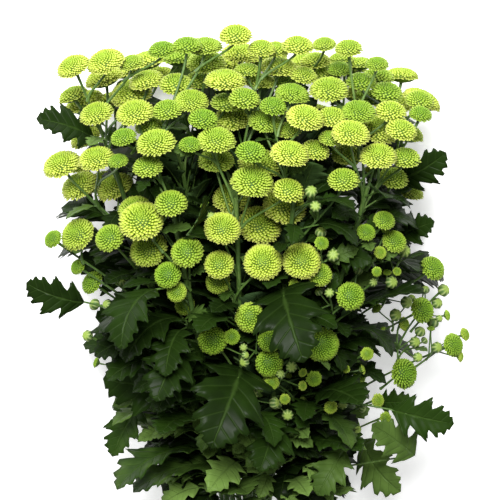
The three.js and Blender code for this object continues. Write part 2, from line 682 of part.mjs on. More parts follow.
// Half of a lobed blade's outline: petiole, neck, lower lobe, notch, upper lobe, notch. Then midrib and tip.
const BLADE_EDGE = [
  [-LEAF.petiole, 0.013], [0.03, 0.02], [0.33, 0.34], [0.37, 0.15], [0.62, 0.35], [0.64, 0.17],
];
const BLADE_MIDDLE = [[0.34, 0], [0.63, 0], [1, 0]];
// Corners 0 to 5 are the edge, 6 and 7 the midrib, 8 the tip, and 9 to 14 the edge on the other side.
const HALF_BLADE = [[0, 6, 1], [1, 6, 2], [6, 3, 2], [6, 7, 3], [7, 4, 3], [7, 5, 4], [7, 8, 5]];
const BLADE_LOOP = [0, 1, 2, 3, 4, 5, 8, 14, 13, 12, 11, 10, 9];

function leafSolid(leaf) {
  const corners = [...BLADE_EDGE, ...BLADE_MIDDLE, ...BLADE_EDGE.map(([x, y]) => [x, -y])];
  const sheet = corners.map(([x, y]) => leafPoint(leaf, x, y));
  if (leaf.foot) {
    const half = leaf.aside.clone().multiplyScalar(LEAF.petioleHalf);
    sheet[0] = leaf.foot.clone().add(half);
    sheet[9] = leaf.foot.clone().sub(half);
  }
  const across = (i) => (i < 6 ? i + 9 : i);
  const otherHalf = HALF_BLADE.map(([a, b, c]) => [across(a), across(c), across(b)]);
  const face = [...HALF_BLADE, ...otherHalf, [0, 9, 6]];
  const surface = new THREE.BufferGeometry().setFromPoints(sheet).setIndex(face.flat());
  surface.computeVertexNormals();
  const normals = surface.getAttribute("normal");
  const offset = (distance) => {
    const normalAt = (i) => vec(0, 0, 0).fromBufferAttribute(normals, i);
    return sheet.map((point, i) => point.clone().addScaledVector(normalAt(i), distance));
  };
  const under = sheet.length;
  const faces = [...face, ...face.map(([a, b, c]) => [a + under, c + under, b + under])];
  BLADE_LOOP.forEach((a, i) => {
    const b = BLADE_LOOP[(i + 1) % BLADE_LOOP.length];
    faces.push([a, b, b + under], [a, b + under, a + under]);
  });
  const points = [...offset(LEAF.thickness / 2), ...offset(-LEAF.thickness / 2)];
  return solidOf(new THREE.BufferGeometry().setFromPoints(points).setIndex(faces.flat()));
}

function bandSolid() {
  const inner = (STEM.rings.length - 1) * STEM.ringStep + stemRadius(BUNCH.bandAt) + BAND.gap;
  const [outer, half] = [inner + BAND.thickness, BAND.width / 2];
  const section = [[inner, -half], [outer, -half], [outer, half], [inner, half], [inner, -half]];
  const ring = new THREE.LatheGeometry(section.map(([x, y]) => new THREE.Vector2(x, y)), BAND.sides);
  const middle = place(0, BUNCH.bandAt, 0);
  return solidOf(ring.rotateX(BUNCH.lean).translate(middle.x, middle.y, middle.z));
}

// ---------- Layout: what is placed first takes its room first ----------
const stems = makeStems();
const [flowers, leaves, buds] = [[], [], []];
stems.forEach(addStemBeads);
LISTED_FLOWERS.forEach((place, i) => addListedHead(flowers, buds, stems, place, i, false));
LISTED_BUDS.forEach((place, i) => {
  addListedHead(flowers, buds, stems, place, LISTED_FLOWERS.length + i, true);
});
LISTED_LEAVES.forEach((ends, i) => addListedLeaf(leaves, stems, ends, i));
addBackSkirt(flowers, buds, stems);
stems.forEach((stem) => addLeaves(leaves, stem));
const backStems = stems.filter((stem) => stem.outer && stem.away[1] < SHOOT.backSide);
backStems.forEach((stem) => addShoot(buds, stem));

// ---------- Assembly ----------
function spraySolid(stem) {
  const mine = (thing) => thing.owner === stem.owner;
  const heads = [...flowers.filter(mine).map(flowerSolid), ...buds.filter(mine).map(budSolid)];
  const grown = Manifold.union([stemSolid(stem), ...heads, ...leaves.filter(mine).map(leafSolid)]);
  const pieces = grown.trimByPlane([0, 0, 1], 0).decompose();
  return pieces.reduce((a, b) => (b.volume() > a.volume() ? b : a));
}

const bunch = new THREE.Group();

function addMesh(name, body, color, roughness) {
  const { vertProperties, triVerts } = body.getMesh();
  const geometry = new THREE.BufferGeometry()
    .setAttribute("position", new THREE.BufferAttribute(vertProperties, 3))
    .setIndex(new THREE.BufferAttribute(triVerts, 1));
  const mesh = new THREE.Mesh(geometry, new THREE.MeshStandardMaterial({ color, roughness, metalness: 0 }));
  mesh.name = name;
  bunch.add(mesh);
}

for (const stem of stems) {
  const name = "spray_" + String(stem.owner + 1).padStart(2, "0");
  addMesh(name, spraySolid(stem), 0x6f9430, 0.6);
}
addMesh("band", bandSolid(), 0xb99a5c, 0.7);

// The origin is under the middle of the bunch, on the surface that it lies on.
const extent = new THREE.Box3().setFromObject(bunch, true);
const middle = extent.getCenter(vec(0, 0, 0));
bunch.position.set(-middle.x, -middle.y, -extent.min.z);

export default bunch;
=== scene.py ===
# %% [markdown]
# # A bunch of green pompon chrysanthemums
# Sixteen cut sprays of a small-flowered chrysanthemum are held by a rubber band and lie on their side.
# The fixed frame gives every spray as one plain solid. This script dresses them: each flower gets its
# florets, each leaf its lobes and veins, and the gaps are filled with the small leaves and buds that a
# real bunch has. Everything is in metres, with the cut ends at -Y and the flowers at +Y.

# %% Load the fixed frame
import math
from itertools import product
from types import SimpleNamespace as Named

import bmesh
import bpy
import numpy as np
from mathutils import Matrix, Vector


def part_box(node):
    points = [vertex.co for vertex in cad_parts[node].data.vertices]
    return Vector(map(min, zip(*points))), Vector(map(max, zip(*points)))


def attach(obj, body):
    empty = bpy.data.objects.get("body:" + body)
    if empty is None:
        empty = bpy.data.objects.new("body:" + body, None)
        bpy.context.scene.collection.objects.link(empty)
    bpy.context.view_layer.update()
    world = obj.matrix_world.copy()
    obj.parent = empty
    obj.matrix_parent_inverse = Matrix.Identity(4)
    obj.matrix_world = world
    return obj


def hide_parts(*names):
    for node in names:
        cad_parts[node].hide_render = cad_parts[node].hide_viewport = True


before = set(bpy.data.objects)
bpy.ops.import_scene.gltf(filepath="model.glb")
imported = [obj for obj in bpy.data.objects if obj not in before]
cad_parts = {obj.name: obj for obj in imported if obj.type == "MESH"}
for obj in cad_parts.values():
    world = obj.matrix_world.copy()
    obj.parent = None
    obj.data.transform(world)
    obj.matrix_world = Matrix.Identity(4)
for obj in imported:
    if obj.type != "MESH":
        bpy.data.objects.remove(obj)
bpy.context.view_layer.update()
print("sprays and band:", len(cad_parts))

# %% [markdown]
# ## Where everything grew
# The solids follow a layout rule: stems fan out from the band, the heads of the upper face stand where a
# list says that the eye sees them, and stalks grow to them from the nearest branch that leaves room. The
# back and the leaves are thrown with seeded dice, and a thing is kept only if it is clear of what is
# already there. The same rule runs here again, so that every floret and vein lands on its own solid. It
# works in millimetres, in directions of the bunch: u across, v along from the cut ends, w out of the
# upper face.

# %% Sizes that drive the layout, in millimetres
# A pair of numbers that the dice choose from is a start and a spread.
BUNCH = Named(top=585, band_at=95, fork_at=505, butt_height=14.8, lean=math.radians(8.4), flare=0.2)
STEM = Named(
    rings=(1, 5, 10), ring_step=5.4, ring_reach=(0, 0.4, 0.78),
    joints=np.array([0, 90, 100, 160, 240, 330, 420, 505], float), spread=1.15, root_radius=2.7,
    tip_radius=1.8,
)
CROWN = Named(half_width=130, half_depth=82, squareness=2.8, doming=26, tilt=math.radians(32))
SKIRT = Named(
    depth=160, bulge=4, taper=22, low_taper=14, shrink=4.5, tilt=math.radians(34), droop=math.radians(26),
    most_droop=1.3, spacing=0.92, back_edge=-25, back_depth=90,
)
FLOWER = Named(
    radius=13.8, radius_spread=2.2, half_height=8, spacing=0.95, underside=2.5, cup_depth=0.36, room=0.78,
    stalk_radius=1.4, stalk_climb=42, stalk_climb_aside=0.9, tips=5, tip_share=0.9,
)
LEAN = Named(across=0.45, along=0.75, forward=0.3, wobble=0.3)
BRANCH = Named(
    stems=6, choices=8, low=190, high=492, shares=(0.3, 0.55, 0.75), shortest=16, longest=70, gain=0.85,
    rise=0.6, crowding=4,
)
SHOOT = Named(
    height=(215, 185), reach=52, reach_share=(0.75, 0.6), climb=55, climb_share=(0.6, 0.6),
    fan=math.radians(110), out=0.7, up=0.75, stalk_radius=1.1, back_side=0.2,
)
BUD = Named(
    radius=4.6, radius_spread=5, side_radius=(3.6, 1.2), apart=(13, 4), lag=(6, 8), sides=5, opens_from=4.6,
    top=0.8, underside=0.7,
)
LEAF = Named(low=185, inner_low=430, high=490, step=48, length=78, petiole=0.2)
LEAF_POSE = Named(
    turn_step=137.5, stem_step=61, turn_spread=60, fold=math.radians(9), roll=math.radians(50),
    length_share=(0.78, 0.34), small_above=430, small_share=0.86, start=0.6, pressed=20, on_floor=0.65,
)
# How far round its stem a leaf may stand, how it rises from it and how it bends, in degrees.
OUTER_LEAF = Named(spread=105, rise=(38, 26), bend=(30, 65))
CORE_LEAF = Named(spread=180, rise=(16, 14), bend=(12, 20))
CLEARANCE = 1.05
FLOOR_PRESS = 0.8
DARTS = Named(skirt=1000, tries=40)
SEED = Named(skirt=9000, shoot=20000, leaf=40000, listed_head=60000, listed_leaf=80000)
BEAD_STEP = 4
MOST_BEADS = 40000
GONE = -1e6


# %% What shows on the upper face, as the eye over it sees it
EYE = Named(rise=math.radians(27), distance=1400, near=1100, far=1700, step=2)
EYE.aim = np.array([0.0, 430.0, 90.0])
SINK = Named(first=3, step=2.5, deepest=73)
ASIDE_AT = 25
LISTED_LEAF = Named(
    lift=6, step=2.5, recess=(6, 22), bend=(math.radians(30), math.radians(42)), turn=math.radians(70),
    back=30, choices=6,
)
# Across, up and radius of each flower and of each bud.
LISTED_FLOWERS = [
    (-137, 142, 12.5), (-112, 146, 14), (-113, 134, 14), (-80, 147, 14), (-92, 146, 9), (-80, 132, 13),
    (-137, 121, 11), (-119, 105, 12.5), (-92, 122, 15.5), (-89, 106, 14), (-79, 96, 10), (-64, 109, 11),
    (-98, 87, 9.5), (-73, 82, 14.5), (-68, 156, 10), (-49, 159, 11), (-35, 158, 13), (-55, 149, 11.5),
    (-34, 146, 14), (-11, 167, 12), (-8, 153, 13.5), (9, 157, 10), (20, 156, 10), (37, 159, 11.5),
    (17, 152, 11), (22, 142, 14), (-2, 140, 10), (-19, 132, 15), (8, 131, 12), (-57, 129, 12),
    (-39, 132, 11), (-45, 116, 12.5), (-4, 118, 11.5), (-18, 115, 11.5), (18, 112, 10), (-12, 103, 15),
    (-36, 102, 11), (12, 99, 12.5), (33, 122, 12.5), (28, 132, 10), (43, 102, 14), (42, 136, 10),
    (50, 147, 11), (30, 92, 9), (57, 160, 9), (76, 157, 10), (70, 149, 9), (85, 145, 10), (98, 145, 8.5),
    (117, 136, 12), (131, 116, 10.5), (132, 105, 8.5), (69, 141, 9), (59, 138, 12.5), (61, 125, 14),
    (99, 135, 11.5), (86, 131, 11), (106, 123, 11.5), (92, 119, 11.5), (84, 108, 12.5), (109, 108, 11.5),
    (63, 103, 11), (99, 92, 15), (78, 89, 14), (117, 92, 11.5), (62, 86, 8.5), (-146, 66, 14),
    (-119, 70, 13), (-102, 69, 7.5), (-132, 51, 14), (-105, 50, 14), (-79, 63, 11), (-84, 21, 16.5),
    (-89, 30, 12.5), (-61, 35, 12), (-46, 81, 8.5), (-26, 84, 14), (-26, 68, 13), (1, 75, 11.5),
    (8, 65, 16), (2, 52, 15.5), (31, 74, 14), (51, 76, 10.5), (-14, 38, 14), (30, 45, 11.5), (27, 32, 16),
    (-21, 16, 13.5), (8, 18, 16), (75, 73, 11.5), (99, 72, 13.5), (120, 71, 11), (72, 54, 11.5),
    (111, 56, 11), (-153, 9, 7), (-134, 12, 13), (-109, 9, 11), (-79, 0, 14), (-49, -2, 12), (-134, -12, 6),
    (-123, -24, 9), (-64, -19, 10), (-57, -32, 7.5), (-51, -42, 7.5), (-24, -12, 11), (-25, -25, 9),
    (10, -10, 14), (40, -9, 14), (54, -19, 9), (0, -52, 11), (104, 23, 8), (90, 14, 7), (112, 7, 9),
    (142, -13, 9.5), (78, -35, 10.5), (-29, -70, 10.5), (15, -70, 8.5), (15, -88, 10), (56, -73, 12.5),
    (134, -46, 9.5), (158, -73, 8.5), (120, -95, 11), (36, -70, 7),
]
LISTED_BUDS = [
    (47, 45, 4.5), (55, 5, 5.5), (-14, -67, 6), (49, -99, 6), (-18, -114, 5.5), (98, -116, 5.5),
    (118, -57, 5.5), (100, -2, 5), (109, -25, 4.5), (112, -50, 4.5), (149, -31, 4.5), (165, -65, 5),
    (90, -80, 5), (17, -102, 5.5), (64, -4, 4.5), (104, -129, 4.5), (119, -1, 4.5), (144, -41, 4),
    (127, -71, 4), (144, -75, 4), (-110, -42, 3.5), (61, -33, 3.5), (32, -90, 4), (39, -82, 4),
    (62, -121, 5), (29, -127, 4), (-28, -120, 3.5), (-11, -122, 3.5), (2, -111, 4), (-5, -75, 3),
    (-30, 26, 3), (-125, -66, 4), (95, -25, 3),
]
# Across and up of each large leaf's base and of its tip.
LISTED_LEAVES = [
    (-125, 83, -171, 92), (-125, -32, -167, -11), (-77, -22, -132, -5), (-55, -68, -116, -62),
    (-48, -106, -113, -99), (-83, -116, -106, -159), (9, -43, 85, -52), (14, -9, 56, 16), (-49, 6, -28, 38),
    (114, 54, 151, 75), (94, 15, 137, 65), (111, 9, 142, 22), (26, 35, 59, 66), (9, -79, -20, -106),
    (88, -146, 116, -186), (105, -88, 151, -72), (99, -117, 126, -116), (73, -154, 52, -189),
    (20, -134, 42, -168), (-35, -77, -63, -89), (38, -100, 69, -131), (-8, -131, -38, -162),
    (62, 0, 94, -9), (-77, -38, -119, -52), (127, -158, 94, -134), (-54, 38, -77, 46),
]


# %% Dice, and the bunch's own directions
def dice(seed):
    """A seeded generator: each call gives the next number from 0 to 1."""
    state = (seed * 2654435761) % 2**32

    def roll():
        nonlocal state
        state = (state * 1664525 + 1013904223) % 2**32
        return state / 2**32

    return roll


def seeded(span, roll):
    """A seeded number: the start of a span, and up to its spread more."""
    return span[0] + span[1] * roll()


ACROSS = np.array([1.0, 0.0, 0.0])
ALONG = np.array([0.0, math.cos(BUNCH.lean), math.sin(BUNCH.lean)])
FRONT = np.array([0.0, -math.sin(BUNCH.lean), math.cos(BUNCH.lean)])


def heading(u, v, w):
    return u * ACROSS + v * ALONG + w * FRONT


def place(u, v, w):
    return heading(u, v, w) + (0, 0, BUNCH.butt_height)


def unit(vector):
    return vector / np.linalg.norm(vector)


def turned(vector, axis, angle):
    """The vector turned about a unit axis by the right-hand rule."""
    aside = np.cross(axis, vector)
    along = axis * np.dot(axis, vector)
    return along + (vector - along) * math.cos(angle) + aside * math.sin(angle)


# %% Crown outline: a rounded oblong
def rim_share(u, w):
    n = CROWN.squareness
    return (abs(u / CROWN.half_width) ** n + abs(w / CROWN.half_depth) ** n) ** (1 / n)


def rim_point(angle):
    share = rim_share(math.cos(angle), math.sin(angle))
    return math.cos(angle) / share, math.sin(angle) / share


def outward_at(u, w):
    gu, gw = u / CROWN.half_width ** 2, w / CROWN.half_depth ** 2
    size = math.hypot(gu, gw) or 1
    return gu / size, gw / size


def girth(depth):
    """How wide the crown is at a depth under its rim, as a share of its width at the top."""
    share = max(depth, 0) / SKIRT.depth
    narrower = SKIRT.taper * min(share, 1) ** 2 + SKIRT.low_taper * max(share - 1, 0)
    return 1 + (SKIRT.bulge - narrower) / CROWN.half_width


# %% Lines of sight
EYE_WAY = heading(0, math.sin(EYE.rise), math.cos(EYE.rise))
EYE_UP = heading(0, math.cos(EYE.rise), -math.sin(EYE.rise))
EYE_AT = EYE.aim + EYE.distance * EYE_WAY


def sight(across, up):
    """The way of the line from the eye that passes the aim this far to the side and this far over it."""
    return unit(EYE.aim + across * ACROSS + up * EYE_UP - EYE_AT)


def bunch_place(point):
    """A point's u, v and w."""
    start = point - np.array([0.0, 0.0, BUNCH.butt_height])
    return start[0], start @ ALONG, start @ FRONT


def is_inside(u, v, w):
    share = rim_share(u, w)
    under = BUNCH.top - CROWN.doming - v
    return -under <= CROWN.doming * (1 - share**2.2) and share <= girth(under)


def first_meeting(way):
    """How far along a line of sight the crown's outline is. A line that misses it ends beside it."""
    for reach in range(EYE.near, EYE.far, EYE.step):
        if is_inside(*bunch_place(EYE_AT + reach * way)):
            return reach
    return (ASIDE_AT - bunch_place(EYE_AT)[2]) / (way @ FRONT)


# %% Stems: one in the middle and two rings round it
def make_stems():
    stems = []
    for ring, count in enumerate(STEM.rings):
        for i in range(count):
            angle = 2 * math.pi * (i + 0.25 + 0.25 * ring) / count
            away = np.array([math.cos(angle), math.sin(angle)])
            stems.append(
                Named(
                    owner=len(stems), outer=ring == len(STEM.rings) - 1, away=away,
                    band=ring * STEM.ring_step * away,
                    site=STEM.ring_reach[ring] * np.array(rim_point(angle)),
                )
            )
    return stems


def joint_offset(stem, v):
    joints = STEM.joints
    flare = 1 + BUNCH.flare * max(1 - v / joints[1], 0)
    share = max((v - joints[2]) / (BUNCH.fork_at - joints[2]), 0) ** STEM.spread
    return flare * stem.band + (stem.site - stem.band) * share


def stem_point(stem, v):
    joints = STEM.joints
    upper = max(int(np.argmax(joints >= v)) if v <= joints[-1] else 0, 1)
    low, high = joints[upper - 1], joints[upper]
    start, end = joint_offset(stem, low), joint_offset(stem, high)
    u, w = start + (end - start) * (v - low) / (high - low)
    return place(u, v, w)


def stem_way_at(stem, v):
    return unit(stem_point(stem, v + 1) - stem_point(stem, v - 1))


def stem_radius(v):
    return STEM.root_radius + (STEM.tip_radius - STEM.root_radius) * v / BUNCH.fork_at


# %% Beads mark the room that each thing takes
class Beads:
    """Balls along everything that has been placed, kept as arrays so that many are tested at once."""

    def __init__(self):
        self.count = 0
        self.at = np.zeros((MOST_BEADS, 3))
        self.radius = np.zeros(MOST_BEADS)
        self.owner = np.zeros(MOST_BEADS, int)
        self.wood = np.zeros(MOST_BEADS, bool)

    def add(self, fresh):
        for at, radius, owner, wood in fresh:
            k = self.count
            self.at[k], self.radius[k], self.owner[k], self.wood[k] = at, radius, owner, wood
            self.count += 1

    def remove(self, old):
        for at, *_ in old:
            same = np.linalg.norm(self.at[: self.count] - at, axis=1) < 1e-6
            self.radius[: self.count][same] = GONE

    def clear(self, fresh, clearance=CLEARANCE):
        """Whether the fresh beads are clear of all others. Wood of one spray may meet wood."""
        at = np.array([b[0] for b in fresh])
        radius = np.array([b[1] for b in fresh])
        owner = np.array([b[2] for b in fresh])
        wood = np.array([b[3] for b in fresh])
        n = self.count
        centre = at.mean(0)
        reach = np.linalg.norm(at - centre, axis=1).max() + radius.max() + clearance
        gap = np.linalg.norm(self.at[:n] - centre, axis=1) - self.radius[:n]
        near = np.nonzero(gap <= reach + 1)[0]
        between = at[:, None, :] - self.at[None, near, :]
        squared = (between**2).sum(2)
        room = radius[:, None] + self.radius[None, near] + clearance
        joined = (owner[:, None] == self.owner[None, near]) & wood[:, None] & self.wood[None, near]
        return bool(np.all(joined | (squared > room * room)))


def stem_beads(stem):
    count = math.ceil(BUNCH.fork_at / BEAD_STEP)
    heights = [BUNCH.fork_at * i / count for i in range(count + 1)]
    return [(stem_point(stem, v), stem_radius(v) + 0.4, stem.owner, True) for v in heights]


def stalk_beads(head, radius):
    foot, base = head.foot, head.base
    steps = math.ceil(np.linalg.norm(base - foot) / BEAD_STEP)
    stations = [foot + (base - foot) * (i + 1) / steps for i in range(steps - 1)]
    return [(at, radius, head.owner, True) for at in stations]


# %% Heads as rings of points, for resting the lowest ones on the surface
def side_ways(axis):
    """Two directions square to an axis and to each other."""
    guide = ACROSS if abs(axis[0]) < 0.8 else FRONT
    side = unit(guide - axis * np.dot(guide, axis))
    return side, np.cross(axis, side)


def ring_at(centre, axis, corners, phase=0.0):
    side, other = side_ways(axis)
    points = []
    for i, (radius, rise) in enumerate(corners):
        angle = 2 * math.pi * (i + phase) / len(corners)
        points.append(
            centre + side * radius * math.cos(angle) + other * radius * math.sin(angle) + axis * rise
        )
    return points


def flower_points(head):
    centre = head.middle - head.axis * FLOWER.underside
    tip = FLOWER.tip_share * head.radius
    axis = head.axis
    return (
        ring_at(centre, axis, [(tip, -0.06 * tip), (0.8 * tip, 0.16 * tip)] * FLOWER.tips)
        + ring_at(centre, axis, [(0.56 * tip, 0.58 * tip)] * FLOWER.tips, 0.5)
        + ring_at(centre, axis, [(0, 0.64 * tip)])
    )


def bud_points(head):
    radius, axis = head.radius, head.axis
    return ring_at(head.middle, axis, [(radius, 0.1 * radius)] * BUD.sides) + ring_at(
        head.middle, axis, [(0, BUD.top * radius)],
    )


def rest_on_floor(head, points):
    lowest = min(point[2] for point in points)
    head.middle = head.middle + (0, 0, max(-FLOOR_PRESS - lowest, 0))


# %% Flowers on the crown and its sides
def are_apart(flower, others, spacing):
    """Whether a flower keeps clear of others, each pair taken as two flattened balls on one axis."""
    if not others:
        return True
    axis = flower.axis + np.array([other.axis for other in others])
    axis /= np.linalg.norm(axis, axis=1)[:, None]
    between = flower.middle - np.array([other.middle for other in others])
    along = (between * axis).sum(1)
    aside = (between**2).sum(1) - along**2
    wide = (flower.radius + np.array([other.radius for other in others]) - 1) * spacing
    high = 2 * FLOWER.half_height
    return bool(np.all(aside / wide**2 + along**2 / high**2 > 1))


def crown_axis(u, v, w, roll):
    """The way that a head faces where the crown is at this place."""
    depth = BUNCH.top - CROWN.doming - v
    share = min(max(depth, 0) / SKIRT.depth, SKIRT.most_droop)
    on_top = CROWN.tilt * min(rim_share(u, w), 1) ** 1.5
    lean = math.sin(SKIRT.tilt + SKIRT.droop * share if depth > 0 else on_top)
    ou, ow = outward_at(u, w)
    aside = LEAN.across * lean * ou + LEAN.wobble * (roll() - 0.5)
    forward = lean * (LEAN.along * ow + LEAN.forward) + LEAN.wobble * (roll() - 0.5)
    return unit(heading(aside, math.sqrt(1 - lean * lean), forward))


def branchings(stems, heads, base, u, v, w):
    """Places that a stalk may grow from, on stems and on other stalks: (cost, owner, foot, way there)."""
    load = np.bincount([head.owner for head in heads], minlength=len(stems)) * BRANCH.crowding
    away = [math.hypot(stem.site[0] - u, stem.site[1] - w) for stem in stems]
    choices = []
    limit = BRANCH.longest
    for k in np.argsort(away, kind="stable")[: BRANCH.stems]:
        leaving = v - FLOWER.stalk_climb - FLOWER.stalk_climb_aside * away[k]
        leaving = max(min(leaving, BRANCH.high), BRANCH.low)
        foot = stem_point(stems[k], leaving)
        length = np.linalg.norm(foot - base)
        limit = min(limit, BRANCH.gain * length)
        choices.append((length + load[k], int(k), foot, stem_way_at(stems[k], leaving)))
    feet = np.array([head.foot for head in heads]).reshape(-1, 3)
    runs = np.array([head.base for head in heads]).reshape(-1, 3) - feet
    stalks = runs / np.linalg.norm(runs, axis=1)[:, None]
    for share in BRANCH.shares:
        spots = feet + runs * share
        ways = base - spots
        lengths = np.linalg.norm(ways, axis=1)
        rising = np.minimum(ways @ ALONG, (ways * stalks).sum(1)) >= BRANCH.rise * lengths
        fits = (lengths >= BRANCH.shortest) & (lengths <= limit)
        for k in np.nonzero(rising & fits)[0]:
            owner = heads[k].owner
            choices.append((lengths[k] + load[owner], owner, spots[k], stalks[k]))
    return sorted(choices, key=lambda choice: choice[0])[: BRANCH.choices]


def head_beads(head, stalk_radius, share):
    ball = (head.middle, share * head.radius, head.owner, False)
    return stalk_beads(head, stalk_radius) + [ball]


def grow_head(head, heads, at, stalk_radius, share):
    """Gives a head the best stalk that crosses nothing, and says whether there was one."""
    for _, owner, foot, way in branchings(stems, heads, head.base, *at):
        vars(head).update(owner=owner, foot=foot, way=way)
        fresh = head_beads(head, stalk_radius, share)
        if beads.clear(fresh):
            beads.add(fresh)
            return True
    return False


def grow_flower(flower, at, spacing):
    flower.base = flower.middle - flower.axis * FLOWER.underside
    flower.base = flower.base - flower.axis * FLOWER.cup_depth * flower.radius
    if not are_apart(flower, flowers, spacing):
        return False
    if not grow_head(flower, flowers + buds, at, FLOWER.stalk_radius, FLOWER.room):
        return False
    flowers.append(flower)
    return True


def grow_bud(bud, at):
    bud.base = bud.middle - bud.axis * BUD.underside * bud.radius
    bud.closed = bud.radius < BUD.opens_from
    if not grow_head(bud, flowers + buds, at, SHOOT.stalk_radius, 1):
        return False
    buds.append(bud)
    return True


def add_listed_head(across, up, size, order, is_bud):
    """Puts a head close under the crown's outline on its line of sight, or deeper where that is taken."""
    way = sight(across, up)
    outline = first_meeting(way)
    for sunk in np.arange(SINK.first, SINK.deepest + 0.1, SINK.step):
        middle = EYE_AT + (outline + sunk) * way
        at = bunch_place(middle)
        radius = size * (outline + sunk) / EYE.distance
        if middle[2] < radius + 1:
            continue
        axis = crown_axis(*at, dice(SEED.listed_head + order))
        head = Named(middle=middle, radius=radius, axis=axis, listed=True)
        if grow_bud(head, at) if is_bud else grow_flower(head, at, FLOWER.spacing):
            return


def add_back_skirt():
    """The back of the crown's sides, where flowers get smaller and sparser the lower they are."""
    for dart in range(DARTS.skirt):
        roll = dice(SEED.skirt + dart)
        rim_u, rim_w = rim_point(2 * math.pi * roll())
        depth = SKIRT.back_depth * roll() ** 1.2
        radius = FLOWER.radius + FLOWER.radius_spread * roll()
        radius -= SKIRT.shrink * depth / SKIRT.depth
        if rim_w > SKIRT.back_edge:
            continue
        at = (rim_u * girth(depth), BUNCH.top - CROWN.doming - depth, rim_w * girth(depth))
        flower = Named(middle=place(*at), radius=radius, axis=crown_axis(*at, roll))
        rest_on_floor(flower, flower_points(flower))
        grow_flower(flower, at, SKIRT.spacing + 0.8 * (depth / SKIRT.depth) ** 2)


# %% Side shoots with a half-open bud at the end and a closed one beside it
def make_shoot(stem, height, roll):
    turn = (roll() - 0.5) * SHOOT.fan
    ou, ow = stem.away
    su = ou * math.cos(turn) - ow * math.sin(turn)
    sw = ou * math.sin(turn) + ow * math.cos(turn)
    reach = SHOOT.reach * seeded(SHOOT.reach_share, roll)
    climb = SHOOT.climb * seeded(SHOOT.climb_share, roll)
    axis = unit(heading(SHOOT.out * su, SHOOT.up, SHOOT.out * sw))
    foot = stem_point(stem, height)
    end = foot + heading(su * reach, climb, sw * reach)
    apart = seeded(BUD.apart, roll)
    lag = seeded(BUD.lag, roll)
    beside = end + heading(-sw * apart, -lag, su * apart)
    heads = [
        Named(middle=end, radius=BUD.radius + BUD.radius_spread * roll() ** 2, closed=False),
        Named(middle=beside, radius=seeded(BUD.side_radius, roll), closed=True),
    ]
    for head in heads:
        vars(head).update(owner=stem.owner, axis=axis, way=stem_way_at(stem, height))
        rest_on_floor(head, bud_points(head))
        head.base = head.middle - axis * BUD.underside * head.radius
    heads[0].foot = foot
    heads[1].foot = foot + (heads[0].middle - foot) * 0.5
    return heads


def add_shoot(stem):
    for attempt in range(DARTS.tries):
        roll = dice(SEED.shoot + 200 * stem.owner + attempt)
        height = seeded(SHOOT.height, roll)
        heads = make_shoot(stem, height, roll)
        fresh = [b for head in heads for b in head_beads(head, SHOOT.stalk_radius, 1)]
        if beads.clear(fresh):
            beads.add(fresh)
            buds.extend(heads)
            return


# %% Leaves hang from their petioles and fold along the midrib
def hanging_points(leaf, x, y):
    """Points of a blade: x from 0 at its base to 1 at its tip, y aside, both in leaf lengths."""
    bend = leaf.bend * np.maximum(x, 0)
    run = np.where(x > 0, np.sin(bend) / leaf.bend, x)
    drop = np.where(x > 0, (1 - np.cos(bend)) / leaf.bend, 0)
    rise = np.abs(y) * math.tan(LEAF_POSE.fold)
    along = run + rise * np.sin(bend)
    up = rise * np.cos(bend) - drop
    ways = along[:, None] * leaf.tangent + up[:, None] * leaf.normal + y[:, None] * leaf.aside
    return leaf.base + leaf.length * ways


SIDE_BEADS = [
    (0.14, 0.08, 0.05), (0.23, 0.1, 0.06), (0.23, 0.2, 0.04), (0.31, 0.2, 0.06), (0.33, 0.3, 0.04),
    (0.42, 0.1, 0.06), (0.5, 0.19, 0.05), (0.56, 0.14, 0.07), (0.6, 0.25, 0.05), (0.62, 0.32, 0.03),
    (0.76, 0.1, 0.06),
]
LEAF_BEADS = np.array(
    [
        (-0.1, 0, 0.03), (0.04, 0, 0.05), (0.16, 0, 0.08), (0.3, 0, 0.08), (0.46, 0, 0.08), (0.62, 0, 0.08),
        (0.77, 0, 0.08), (0.89, 0, 0.06), (0.97, 0, 0.03),
    ]
    + SIDE_BEADS
    + [(x, -y, radius) for x, y, radius in SIDE_BEADS]
)


def make_leaf(stem, v, order, roll):
    way = stem_way_at(stem, v)
    kind = OUTER_LEAF if stem.outer else CORE_LEAF
    turn = order * LEAF_POSE.turn_step + stem.owner * LEAF_POSE.stem_step + LEAF_POSE.turn_spread * roll()
    turn = turn % (2 * kind.spread) - kind.spread
    away = heading(stem.away[0], 0, stem.away[1])
    out = turned(unit(away - way * np.dot(away, way)), way, math.radians(turn))
    rise = math.radians(seeded(kind.rise, roll))
    tangent = way * math.cos(rise) + out * math.sin(rise)
    level = way * math.sin(rise) - out * math.cos(rise)
    normal = turned(level, tangent, LEAF_POSE.roll * (roll() - 0.5))
    bend = math.radians(seeded(kind.bend, roll))
    length = LEAF.length * seeded(LEAF_POSE.length_share, roll)
    length *= LEAF_POSE.small_share if v > LEAF_POSE.small_above else 1
    foot = stem_point(stem, v)
    base = foot + tangent * (LEAF.petiole * length + LEAF_POSE.start)
    aside = np.cross(tangent, normal)
    return Named(
        owner=stem.owner, foot=foot, base=base, tangent=tangent, normal=normal, aside=aside, bend=bend,
        length=length,
    )


def leaf_room(leaf):
    """The beads of a leaf, and how far its lowest point would sink into the surface."""
    points = hanging_points(leaf, LEAF_BEADS[:, 0], LEAF_BEADS[:, 1])
    lowest = points[:, 2].min()
    points[:, 2] = np.maximum(points[:, 2], LEAF_POSE.on_floor)
    fresh = [
        (point, radius * leaf.length, leaf.owner, bool(x < 0.1))
        for point, (x, _, radius) in zip(points, LEAF_BEADS)
    ]
    return fresh, lowest


